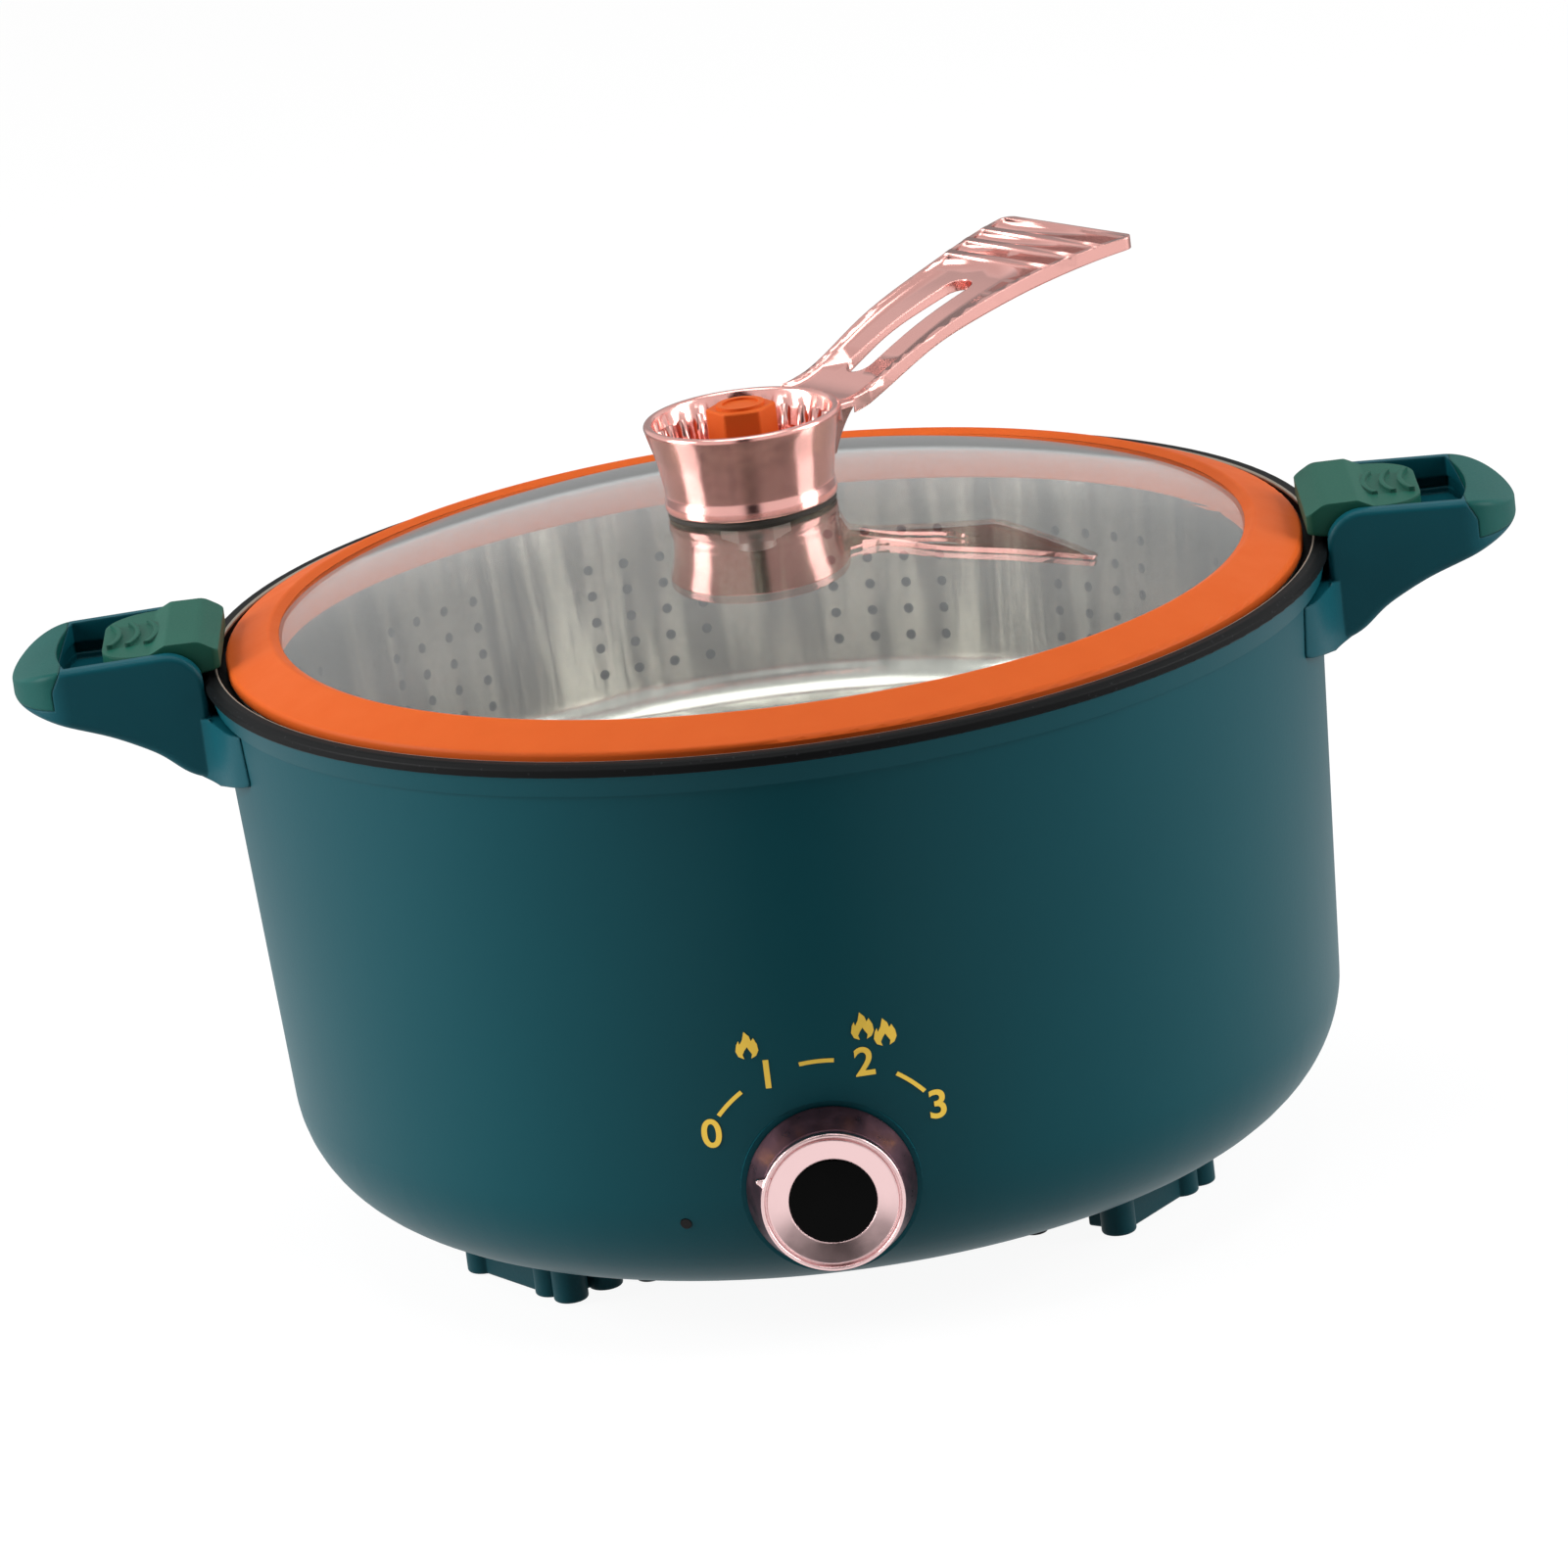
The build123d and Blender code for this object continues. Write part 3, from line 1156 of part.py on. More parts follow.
def cutout_tabs():
    """Flat tabs that leave the cutout on both sides."""
    tabs = []
    for side in (-1, 1):
        middle = side * (CUTOUT_RADIUS + TAB_LENGTH) / 2
        tab = Pos(middle, 0, CUTOUT_TAB_LEVEL) * Box(CUTOUT_RADIUS + TAB_LENGTH, TAB_WIDTH, TAB_THICK)
        tabs.append(tab - Pos(0, 0, CUTOUT_TAB_LEVEL) * Cylinder(CUTOUT_RADIUS, CUT))
    return Compound(children=tabs)


def earth_stud():
    """Threaded stud with its nut under the heat plate."""
    stud = upright(Circle(EARTH_STUD_RADIUS), PLATE_LOW - EARTH_STUD_LENGTH, PLATE_LOW)
    nut_high = PLATE_LOW - EARTH_NUT_DROP
    nut_plan = RegularPolygon(EARTH_NUT_FLATS / 2, 6, major_radius=False)
    nut = upright(nut_plan, nut_high - EARTH_NUT_THICK, nut_high)
    return Pos(0, EARTH_OFFSET, 0) * (stud + nut)


FUSE_LEVEL = PLATE_LOW - SEAT - FUSE_RADIUS


def thermal_fuse():
    body = Cylinder(FUSE_RADIUS, FUSE_LENGTH) + Cylinder(FUSE_WIRE_RADIUS, FUSE_LENGTH + 2 * FUSE_WIRE)
    return Pos(0, FUSE_OFFSET, FUSE_LEVEL) * Rot(0, 90, 0) * body


def fuse_clip():
    """Bent strap that holds the fuse against the heat plate."""
    inner = FUSE_RADIUS + SEAT
    outer = inner + CLIP_THICK
    top = FUSE_RADIUS - SEAT
    strap = Circle(outer) - Circle(inner) - Pos(0, outer) * Rectangle(outer * 4, outer * 2)
    for side in (-1, 1):
        strap += Pos(side * (inner + outer) / 2, top / 2) * Rectangle(CLIP_THICK, top)
        strap += Pos(side * (outer + CLIP_FOOT / 2), top - CLIP_THICK / 2) * Rectangle(CLIP_FOOT, CLIP_THICK)
    place = Plane(origin=(0, FUSE_OFFSET, FUSE_LEVEL), x_dir=(0, 1, 0), z_dir=(1, 0, 0))
    return extrude(place * strap, CLIP_WIDTH / 2, both=True)


# Power inlet, drawn on its front face with Z pointing out
def contact_points():
    return [(-CONTACT_SPREAD, 0), (0, CONTACT_RAISE), (CONTACT_SPREAD, 0)]


def power_inlet():
    plate = RectangleRounded(INLET_FLANGE_WIDTH, INLET_FLANGE_HEIGHT, INLET_FLANGE_ROUND)
    flange = inlet_plane() * upright(plate, -CUT / 4, 0) - shell_body(SEAT)
    body = upright(RectangleRounded(INLET_WIDTH, INLET_TALL, SOCKET_ROUND), -INLET_DEPTH, -INLET_PROUD / 2)
    body = flange + inlet_plane() * body
    socket = RectangleRounded(SOCKET_WIDTH, SOCKET_TALL, SOCKET_ROUND)
    body -= inlet_plane() * upright(socket, -SOCKET_DEEP, CUT)
    for x, y in contact_points():
        body -= inlet_plane() * (Pos(x, y, 0) * Cylinder(CONTACT_RADIUS + RUN, CUT * 2))
    for side in (-1, 1):
        body -= inlet_plane() * (Pos(side * INLET_SCREW_SPREAD, 0, 0)
                                 * Cylinder(INLET_SCREW_RADIUS + SCREW_FREE, CUT))
    return body


def inlet_pins():
    pins = []
    for x, y in contact_points():
        pin = upright(Circle(CONTACT_RADIUS), -INLET_DEPTH - CONTACT_TAIL, CONTACT_LENGTH - SOCKET_DEEP)
        pin = fillet(pin.edges().group_by(Axis.Z)[-1], CONTACT_RADIUS / 2)
        pins.append(inlet_plane() * (Pos(x, y, 0) * pin))
    return Compound(children=pins)


def inlet_screws():
    screws = []
    for side in (-1, 1):
        head = upright(Circle(INLET_SCREW_HEAD), 0, INLET_SCREW_HEAD_THICK)
        head = fillet(head.edges().group_by(Axis.Z)[-1], INLET_SCREW_HEAD_THICK / 2)
        shank = upright(Circle(INLET_SCREW_RADIUS), -INLET_SCREW_LENGTH, 0)
        screws.append(inlet_plane() * (Pos(side * INLET_SCREW_SPREAD, 0, 0) * (head + shank)))
    return Compound(children=screws)


# Inner leads
def lead(start, leave, arrive, end):
    """Wire from start to end along straight runs joined by tangent bends."""
    near = [start + Vector(*step) for step in leave]
    far = [end + Vector(*step) for step in arrive]
    points = [start, *near, *far, end]
    radii = []
    for before, here, after in zip(points, points[1:], points[2:]):
        room = LEAD_BEND_SHARE * min((here - before).length, (after - here).length)
        turn = radians((here - before).get_angle(after - here))
        radii.append(min(LEAD_BEND, room / tan(turn / 2)))
    path = FilletPolyline(*points, radius=radii)
    section = Plane(origin=start, z_dir=points[1] - start) * Circle(LEAD_RADIUS)
    return sweep(section, path=path)


def inlet_tail(index):
    x, y = contact_points()[index]
    return inlet_plane().from_local_coords(Vector(x, y, -INLET_DEPTH - CONTACT_TAIL))


def tab_end(side):
    high = -SHELL_WALL - SEAT - BRACKET_THICK - STAT_DEPTH - TAB_LENGTH
    return knob_seat.from_local_coords(Vector(side * TAB_SPREAD, 0, high))


def cutout_end(side):
    return Vector(side * (CUTOUT_RADIUS + TAB_LENGTH), 0, CUTOUT_TAB_LEVEL)


def fuse_end(side):
    return Vector(side * (FUSE_LENGTH / 2 + FUSE_WIRE), FUSE_OFFSET, FUSE_LEVEL)


def pin_low(side):
    return heater_pin_top(side) - Vector(0, 0, PIN_LENGTH)


def earth_end():
    return Vector(0, EARTH_OFFSET + EARTH_NUT_FLATS / 2, PLATE_LOW - EARTH_NUT_DROP - EARTH_NUT_THICK / 2)


def lead_live():
    return lead(inlet_tail(0), LIVE_LEAVE, LIVE_ARRIVE, tab_end(1))


def lead_control():
    return lead(tab_end(-1), CONTROL_LEAVE, CONTROL_ARRIVE, cutout_end(-1))


def lead_link():
    return lead(cutout_end(1), LINK_LEAVE, LINK_ARRIVE, fuse_end(1))


def lead_heater():
    return lead(fuse_end(-1), HEATER_LEAVE, HEATER_ARRIVE, pin_low(1))


def lead_neutral():
    return lead(pin_low(-1), NEUTRAL_ARRIVE[::-1], NEUTRAL_LEAVE[::-1], inlet_tail(2))


def lead_earth():
    return lead(inlet_tail(1), EARTH_LEAVE, EARTH_ARRIVE, earth_end())


NODES = {
    "outer_shell": outer_shell,
    "inner_pot": inner_pot,
    "steamer_basket": steamer_basket,
    "lid_glass": lid_glass,
    "lid_gasket": lid_gasket,
    "lid_handle": lid_handle,
    "cup_washer": cup_washer,
    "glass_washer": glass_washer,
    "lid_nut": lid_nut,
    "vent_tube": vent_tube,
    "valve_seat": valve_seat,
    "valve_cap": valve_cap,
    "knob_skirt": knob_skirt,
    "knob_ring": knob_ring,
    "knob_disc": knob_disc,
    "control_shaft": control_shaft,
    "bush_nut": bush_nut,
    "thermostat": thermostat,
    "thermostat_bracket": thermostat_bracket,
    "thermostat_tabs": thermostat_tabs,
    "indicator_lens": indicator_lens,
    "indicator_lamp": indicator_lamp,
    "base_cover": base_cover,
    "foot_pads": foot_pads,
    "base_screws": base_screws,
    "heat_plate": heat_plate,
    "heater_tube": heater_tube,
    "heater_pins": heater_pins,
    "thermal_cutout": thermal_cutout,
    "cutout_tabs": cutout_tabs,
    "earth_stud": earth_stud,
    "thermal_fuse": thermal_fuse,
    "fuse_clip": fuse_clip,
    "power_inlet": power_inlet,
    "inlet_pins": inlet_pins,
    "inlet_screws": inlet_screws,
    "lead_live": lead_live,
    "lead_control": lead_control,
    "lead_link": lead_link,
    "lead_heater": lead_heater,
    "lead_neutral": lead_neutral,
    "lead_earth": lead_earth,
}
SIDED = {
    "handle_base": handle_base,
    "handle_cap": handle_cap,
    "latch": latch,
    "handle_screws": handle_screws,
}

os.makedirs("parts", exist_ok=True)
for name, make in NODES.items():
    export_step(make(), f"parts/{name}.step")
for name, make in SIDED.items():
    right = make()
    export_step(right, f"parts/{name}_right.step")
    export_step(mirror(right, Plane.YZ), f"parts/{name}_left.step")
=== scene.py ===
# %% [markdown]
# # Electric cooking pot
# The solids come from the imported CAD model, in metres, with +Z up and the knob facing -Y. This file gives them
# their finishes, makes the perforated basket and the printed heat scale, and sets the light and the camera.

import bpy
import bmesh
from math import asin, atan, cos, pi, radians, sin, tan
from mathutils import Matrix, Vector


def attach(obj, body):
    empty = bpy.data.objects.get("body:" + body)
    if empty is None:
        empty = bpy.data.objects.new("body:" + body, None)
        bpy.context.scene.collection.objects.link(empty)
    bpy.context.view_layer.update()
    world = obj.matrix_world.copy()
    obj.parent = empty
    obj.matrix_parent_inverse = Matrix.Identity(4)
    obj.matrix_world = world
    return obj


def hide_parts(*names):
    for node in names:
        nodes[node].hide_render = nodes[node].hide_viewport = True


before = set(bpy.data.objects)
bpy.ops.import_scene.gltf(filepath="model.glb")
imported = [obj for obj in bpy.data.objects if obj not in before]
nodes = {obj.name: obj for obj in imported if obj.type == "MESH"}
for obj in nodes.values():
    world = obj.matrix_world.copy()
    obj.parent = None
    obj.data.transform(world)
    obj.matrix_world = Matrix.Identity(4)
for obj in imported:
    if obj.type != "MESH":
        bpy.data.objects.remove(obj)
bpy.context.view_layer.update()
MM = 0.001
print("loaded", len(nodes), "solids")

# %% [markdown]
# ## Small helpers
# A Blender colour socket wants linear light, while a colour picker gives sRGB. One function turns the hex codes
# round, and one adds a shader or geometry node with its settings and links. Three settings come up again and again, so
# they have names: a range with soft ends, and mixing colours or plain numbers.

# %% Helpers
SOFT_ENDS = {"interpolation_type": "SMOOTHSTEP"}
MIX_COLOURS = {"data_type": "RGBA"}
MIX_NUMBERS = {"data_type": "FLOAT"}


def linear(code):
    """sRGB hex code, such as 1f4f5b, as linear RGBA."""
    parts = [int(code[i:i + 2], 16) / 255 for i in (0, 2, 4)]
    return tuple(p / 12.92 if p <= 0.04045 else ((p + 0.055) / 1.055) ** 2.4 for p in parts) + (1.0,)


def add(tree, kind, settings=None, sockets=None):
    """Adds a node; a socket takes a plain value or another node's output."""
    made = tree.nodes.new(kind)
    for name, value in (settings or {}).items():
        setattr(made, name, value)
    for name, value in (sockets or {}).items():
        if isinstance(value, bpy.types.NodeSocket):
            tree.links.new(value, made.inputs[name])
        else:
            made.inputs[name].default_value = value
    return made


print("white is", linear("ffffff"))

# %% [markdown]
# ## Camera
# The camera was fitted to the photo's ellipses: a long lens a little over two metres away, about seventeen degrees
# above the table, and rolled by seven degrees, so that the pot seems to lean. Its three axes are written out as they
# were fitted, because a rolled camera is easier to state that way than with three angles.

# %% Camera
IMAGE_SIDE = 1601
FOCAL_PIXELS = 9000.0
CAMERA_PLACE = Vector((0.022328, -2.244333, 0.797531))
CAMERA_RIGHT = Vector((0.9926397, -0.0260108, -0.1182784))
CAMERA_AHEAD = Vector((-0.0098960, 0.9559749, -0.2932814))
camera_up = CAMERA_RIGHT.cross(CAMERA_AHEAD)
camera_data = bpy.data.cameras.new("camera")
camera_data.angle = 2 * atan(IMAGE_SIDE / 2 / FOCAL_PIXELS)
camera_data.clip_end = 50
camera = bpy.data.objects.new("camera", camera_data)
turn = Matrix((CAMERA_RIGHT, camera_up, -CAMERA_AHEAD)).transposed().to_4x4()
camera.matrix_world = Matrix.Translation(CAMERA_PLACE) @ turn
bpy.context.scene.collection.objects.link(camera)
bpy.context.scene.camera = camera
bpy.context.scene.view_settings.view_transform = "Standard"
print("camera angle", round(camera_data.angle * 180 / pi, 2), "degrees")

# %% [markdown]
# ## Stage and light
# The photo is a studio picture on white. The floor is white paper to the camera, and keeps a faint shadow. Gloss and
# glass see that white too, but for a dark upright strip behind the camera. A studio hangs black cloth there, and its
# image is the dark band in the plating and the deep middle of the wall. Two tall soft lamps at the sides give the pot
# its bright flanks, and one lamp overhead lights the lid.

# %% Black cloth
CLOTH_START, CLOTH_END = 0.11, 0.24     # slants at which the cloth begins to end, and ends
LEAST_AHEAD = 0.02                      # keeps the slant from a division by nothing


def beside_cloth(tree, direction, dark, bright):
    """Brightness seen along a direction: dark in a strip round -Y, bright beside it and behind the pot."""
    part = add(tree, "ShaderNodeSeparateXYZ", None, {0: direction}).outputs
    aside = add(tree, "ShaderNodeMath", {"operation": "ABSOLUTE"}, {0: part["X"]}).outputs[0]
    ahead = add(tree, "ShaderNodeMath", {"operation": "MULTIPLY"}, {0: part["Y"], 1: -1.0}).outputs[0]
    ahead = add(tree, "ShaderNodeMath", {"operation": "MAXIMUM"}, {0: ahead, 1: LEAST_AHEAD}).outputs[0]
    slant = add(tree, "ShaderNodeMath", {"operation": "DIVIDE"}, {0: aside, 1: ahead}).outputs[0]
    behind = add(tree, "ShaderNodeMath", {"operation": "GREATER_THAN"}, {0: part["Y"], 1: 0.0}).outputs[0]
    slant = add(tree, "ShaderNodeMath", {"operation": "ADD"}, {0: slant, 1: behind}).outputs[0]
    span = {"Value": slant, "From Min": CLOTH_START, "From Max": CLOTH_END, "To Min": dark, "To Max": bright}
    return add(tree, "ShaderNodeMapRange", SOFT_ENDS, span).outputs[0]


print("cloth ends at a slant of", CLOTH_END)

# %% [markdown]
# The floor is one flat sheet, wide enough that its edge never shows.

# %% Floor
FLOOR_SIDE = 14.0
floor_mesh = bpy.data.meshes.new("floor")
half = FLOOR_SIDE / 2
floor_mesh.from_pydata([(-half, -half, 0), (half, -half, 0), (half, half, 0), (-half, half, 0)], [], [(0, 1, 2, 3)])
floor = bpy.data.objects.new("floor", floor_mesh)
bpy.context.scene.collection.objects.link(floor)
print("floor", FLOOR_SIDE, "m")

# %% [markdown]
# The camera sees the paper as plain white with a thin shadow. Gloss sees it bright near the pot, dark on the cloth's
# strip, and dimmer far behind the pot. Other light bounces from it as from grey paper, and hardly from the strip.

# %% White paper
PAPER_WHITE, PAPER_DARK, PAPER_SEEN = 0.85, 0.02, 0.93
PAPER_BOUNCE, CLOTH_BOUNCE = 0.55, 0.05
NEAR_START, NEAR_END = -0.38, -0.28     # between these depths the paper turns white in spite of the cloth
BACK_DEPTH, BACK_DIM = 0.5, 0.35        # at this depth behind the middle it is this much dimmer
floor_paint = bpy.data.materials.new("white_paper")
floor_paint.use_nodes = True
tree = floor_paint.node_tree
tree.nodes.clear()
rays = add(tree, "ShaderNodeLightPath").outputs
spot = add(tree, "ShaderNodeTexCoord").outputs["Object"]
depth = add(tree, "ShaderNodeSeparateXYZ", None, {0: spot}).outputs["Y"]
span = {"Value": depth, "From Min": NEAR_START, "From Max": NEAR_END, "To Max": PAPER_WHITE}
near = add(tree, "ShaderNodeMapRange", SOFT_ENDS, span).outputs[0]
lit = beside_cloth(tree, spot, PAPER_DARK, PAPER_WHITE)
lit = add(tree, "ShaderNodeMath", {"operation": "MAXIMUM"}, {0: lit, 1: near}).outputs[0]
span = {"Value": depth, "From Max": BACK_DEPTH, "To Min": 1.0, "To Max": BACK_DIM}
away = add(tree, "ShaderNodeMapRange", SOFT_ENDS, span).outputs[0]
lit = add(tree, "ShaderNodeMath", {"operation": "MULTIPLY"}, {0: lit, 1: away}).outputs[0]
level = add(tree, "ShaderNodeMix", MIX_NUMBERS, {"Factor": rays["Is Glossy Ray"], "A": PAPER_SEEN, "B": lit})
seen = add(tree, "ShaderNodeMath", {"operation": "MAXIMUM"}, {0: rays["Is Camera Ray"], 1: rays["Is Glossy Ray"]})
seen = add(tree, "ShaderNodeMath", {"operation": "MAXIMUM"}, {0: seen.outputs[0], 1: rays["Is Transmission Ray"]})
glow = add(tree, "ShaderNodeEmission", None, {"Color": (1, 1, 1, 1), "Strength": level.outputs[0]})
shade = beside_cloth(tree, spot, CLOTH_BOUNCE, PAPER_BOUNCE)
paper = add(tree, "ShaderNodeBsdfDiffuse", None, {"Color": shade})
thin = add(tree, "ShaderNodeBsdfDiffuse", None, {"Color": linear("606060")})
both = add(tree, "ShaderNodeAddShader", None, {0: glow.outputs[0], 1: thin.outputs[0]})
mix = add(tree, "ShaderNodeMixShader", None, {0: seen.outputs[0], 1: paper.outputs[0], 2: both.outputs[0]})
add(tree, "ShaderNodeOutputMaterial", None, {"Surface": mix.outputs[0]})
floor_mesh.materials.append(floor_paint)
print("paper", len(tree.nodes), "nodes")

# %% [markdown]
# The air round the pot is white to the camera and through glass. Gloss sees it white too, but for the cloth, and dimmer
# overhead and straight behind, so that the lid's glass stays clear. Other light comes mostly from behind.

# %% World
SKY_WHITE, SKY_DARK = 0.95, 0.02
OVERHEAD = (0.2, 0.8, 0.75)     # where the dimming starts and ends, and what it leaves
BEHIND = (0.8, 0.95, 0.45)
SOFT_START, SOFT_END, SOFT_LIGHT = -0.5, 0.35, 0.4     # soft light grows from front to back
world = bpy.data.worlds.new("studio")
world.use_nodes = True
bpy.context.scene.world = world
tree = world.node_tree
tree.nodes.clear()
rays = add(tree, "ShaderNodeLightPath").outputs
either = {0: rays["Is Camera Ray"], 1: rays["Is Transmission Ray"]}
seen = add(tree, "ShaderNodeMath", {"operation": "MAXIMUM"}, either)
direction = add(tree, "ShaderNodeTexCoord").outputs["Generated"]
part = add(tree, "ShaderNodeSeparateXYZ", None, {0: direction}).outputs
mirrored = beside_cloth(tree, direction, SKY_DARK, SKY_WHITE)
for axis, start, end, dim in (("Z", *OVERHEAD), ("Y", *BEHIND)):
    span = {"Value": part[axis], "From Min": start, "From Max": end, "To Min": 1.0, "To Max": dim}
    dimmed = add(tree, "ShaderNodeMapRange", SOFT_ENDS, span).outputs[0]
    mirrored = add(tree, "ShaderNodeMath", {"operation": "MULTIPLY"}, {0: mirrored, 1: dimmed}).outputs[0]
span = {"Value": part["Y"], "From Min": SOFT_START, "From Max": SOFT_END, "To Max": SOFT_LIGHT}
soft = add(tree, "ShaderNodeMapRange", SOFT_ENDS, span).outputs[0]
shed = add(tree, "ShaderNodeMix", MIX_NUMBERS, {"Factor": rays["Is Glossy Ray"], "A": soft, "B": mirrored})
ambient = add(tree, "ShaderNodeBackground", None, {"Color": (1, 1, 1, 1), "Strength": shed.outputs[0]})
white = add(tree, "ShaderNodeBackground", None, {"Color": (1, 1, 1, 1), "Strength": 1.0})
mix = add(tree, "ShaderNodeMixShader", None, {0: seen.outputs[0], 1: ambient.outputs[0], 2: white.outputs[0]})
add(tree, "ShaderNodeOutputWorld", None, {"Surface": mix.outputs[0]})
print("world", len(tree.nodes), "nodes")

# %% [markdown]
# Each lamp is a soft rectangle: its place, the point it faces, its width and height in metres, and its power in watts.

# %% Lamps
LAMPS = {
    "left_softbox": ((-1.6, -0.22, 0.7), (0, 0, 0.1), (0.8, 1.4), 27.0),
    "right_softbox": ((1.6, -0.2, 0.7), (0, 0, 0.1), (0.8, 1.4), 20.0),
    "top_softbox": ((0, -0.1, 1.8), (0, 0, 0.15), (1.4, 1.0), 14.0),
}
for name, (place, target, size, power) in LAMPS.items():
    lamp_data = bpy.data.lights.new(name, "AREA")
    lamp_data.shape = "RECTANGLE"
    lamp_data.size, lamp_data.size_y = size
    lamp_data.energy = power
    lamp = bpy.data.objects.new(name, lamp_data)
    lamp.location = place
    lamp.rotation_euler = (Vector(target) - Vector(place)).to_track_quat("-Z", "Y").to_euler()
    bpy.context.scene.collection.objects.link(lamp)
print("lamps", list(LAMPS))

# %% [markdown]
# ## Finishes
# Each material starts from what the real one is. Most begin with a Principled shader and Object coordinates, which stay
# on a piece when it moves. Textures are scaled by the size of their features in millimetres.


# %% Material helpers
def start_material(name, sockets):
    """New material with a Principled shader; returns the material, its tree, the shader and Object coordinates."""
    material = bpy.data.materials.new(name)
    material.use_nodes = True
    tree = material.node_tree
    tree.nodes.clear()
    shader = add(tree, "ShaderNodeBsdfPrincipled", None, sockets)
    add(tree, "ShaderNodeOutputMaterial", None, {"Surface": shader.outputs[0]})
    place = add(tree, "ShaderNodeTexCoord").outputs["Object"]
    return material, tree, shader, place


def wear(node_names, material):
    """Gives these CAD nodes one material."""
    for name in node_names:
        slots = nodes[name].data.materials
        slots.clear()
        slots.append(material)


def per_mm(size):
    """Texture scale that gives features about this many millimetres across."""
    return 1 / (size * MM)


print("feature of 1 mm:", per_mm(1), "per metre")

# %% [markdown]
# The shell is sprayed enamel: a satin colour with a faint orange peel, the soft ripple that spray paint dries with.


# %% Sprayed enamel
def sprayed_enamel():
    """Deep teal with broad dim highlights, which drifts very slightly over the wall."""
    satin = {"Roughness": 0.42, "Specular IOR Level": 0.18, "Metallic": 0.1}
    material, tree, shader, place = start_material("sprayed_enamel", satin)
    cloud = add(tree, "ShaderNodeTexNoise", None, {"Vector": place, "Scale": per_mm(70), "Detail": 2.0})
    shades = {"Factor": cloud.outputs["Fac"], "A": linear("004a54"), "B": linear("00505a")}
    tint = add(tree, "ShaderNodeMix", MIX_COLOURS, shades)
    tree.links.new(tint.outputs["Result"], shader.inputs["Base Color"])
    peel = add(tree, "ShaderNodeTexNoise", None, {"Vector": place, "Scale": per_mm(1.2), "Detail": 1.0})
    bump = add(tree, "ShaderNodeBump", None, {"Height": peel.outputs["Fac"], "Strength": 0.06, "Distance": 0.0003})
    tree.links.new(bump.outputs[0], shader.inputs["Normal"])
    return material


wear(["outer_shell"], sprayed_enamel())
print("enamel on the shell")

# %% [markdown]
# The handles, latches and base are moulded ABS. A mould's spark-eroded face leaves a fine even grain, which softens
# every highlight. The grain is drawn a little coarser than real, so that it shows at all. A Bevel node rounds the
# look of sharp edges, as a mould does, without a change of shape.

# %% Moulded plastics
MOULD_EDGE = 0.9
GRAIN_GLOSS, GRAIN_DULL = 0.05, 0.07


def moulded_plastic(name, code, deep, rough, grain_mm):
    """Two close shades that flow into each other, and one grain for gloss and relief."""
    material, tree, shader, place = start_material(name, {"Specular IOR Level": 0.15})
    grain = add(tree, "ShaderNodeTexNoise", None, {"Vector": place, "Scale": per_mm(grain_mm), "Detail": 3.0})
    flow = add(tree, "ShaderNodeTexNoise", None, {"Vector": place, "Scale": per_mm(22), "Detail": 1.0})
    shades = {"Factor": flow.outputs["Fac"], "A": linear(code), "B": linear(deep)}
    tint = add(tree, "ShaderNodeMix", MIX_COLOURS, shades)
    tree.links.new(tint.outputs["Result"], shader.inputs["Base Color"])
    span = {"Value": grain.outputs["Fac"], "To Min": rough - GRAIN_GLOSS, "To Max": rough + GRAIN_DULL}
    dull = add(tree, "ShaderNodeMapRange", None, span)
    tree.links.new(dull.outputs[0], shader.inputs["Roughness"])
    edge = add(tree, "ShaderNodeBevel", {"samples": 4}, {"Radius": MOULD_EDGE * MM})
    relief = {"Height": grain.outputs["Fac"], "Strength": 0.15, "Distance": 0.0002, "Normal": edge.outputs[0]}
    bump = add(tree, "ShaderNodeBump", None, relief)
    tree.links.new(bump.outputs[0], shader.inputs["Normal"])
    return material


print("moulded edge", MOULD_EDGE, "mm")

# %% [markdown]
# Each row is a material with its two shades, its roughness, its grain in millimetres and the pieces that wear it.

# %% Plastics and who wears them
SIDES = ("left", "right")
PLASTICS = (
    # Teal close to the shell's, so that handle and wall read as one body.
    ("teal_abs", "0a5560", "084d58", 0.42, 0.7, [f"handle_base_{side}" for side in SIDES]),
    # Greener latches, so that the eye finds what moves.
    ("green_abs", "1b5c4c", "185345", 0.45, 0.7, [f"latch_{side}" for side in SIDES]),
    # A shade between the two.
    ("sea_green_abs", "0c5852", "0a4f4a", 0.42, 0.7, [f"handle_cap_{side}" for side in SIDES]),
    # A darker, duller teal: the darkness is painted shade, as the base sits half in shadow under the wall.
    ("shaded_base_abs", "04454e", "043e47", 0.5, 0.9, ["base_cover"]),
    # Near black with a dull sheen.
    ("black_nylon", "17181a", "1c1d1f", 0.5, 0.8, ["thermostat", "power_inlet", "thermal_cutout"]),
    # Black without any sheen.
    ("pad_rubber", "161616", "1b1b1b", 0.8, 0.5, ["foot_pads"]),
    # A warm grey that stays quiet under the glass.
    ("smoky_silicone", "4a4541", "45403c", 0.55, 0.9, ["cup_washer", "glass_washer"]),
    # A pale, slightly shiny cream.
    ("lamp_shell", "d9d3c4", "cfc8b8", 0.35, 1.0, ["indicator_lamp"]),
    # Chalky beige.
    ("fuse_ceramic", "cdbfa4", "c2b498", 0.6, 0.6, ["thermal_fuse"]),
    # The leads' colours tell live, heater, neutral and earth apart.
    ("brown_insulation", "553322", "4a2c1d", 0.55, 0.8, ["lead_live", "lead_control"]),
    ("white_insulation", "dcdad4", "d0cec8", 0.55, 0.8, ["lead_link", "lead_heater"]),
    ("blue_insulation", "2d5aa0", "274f8e", 0.55, 0.8, ["lead_neutral"]),
    ("green_insulation", "5c9a34", "4f8a2c", 0.55, 0.8, ["lead_earth"]),
)
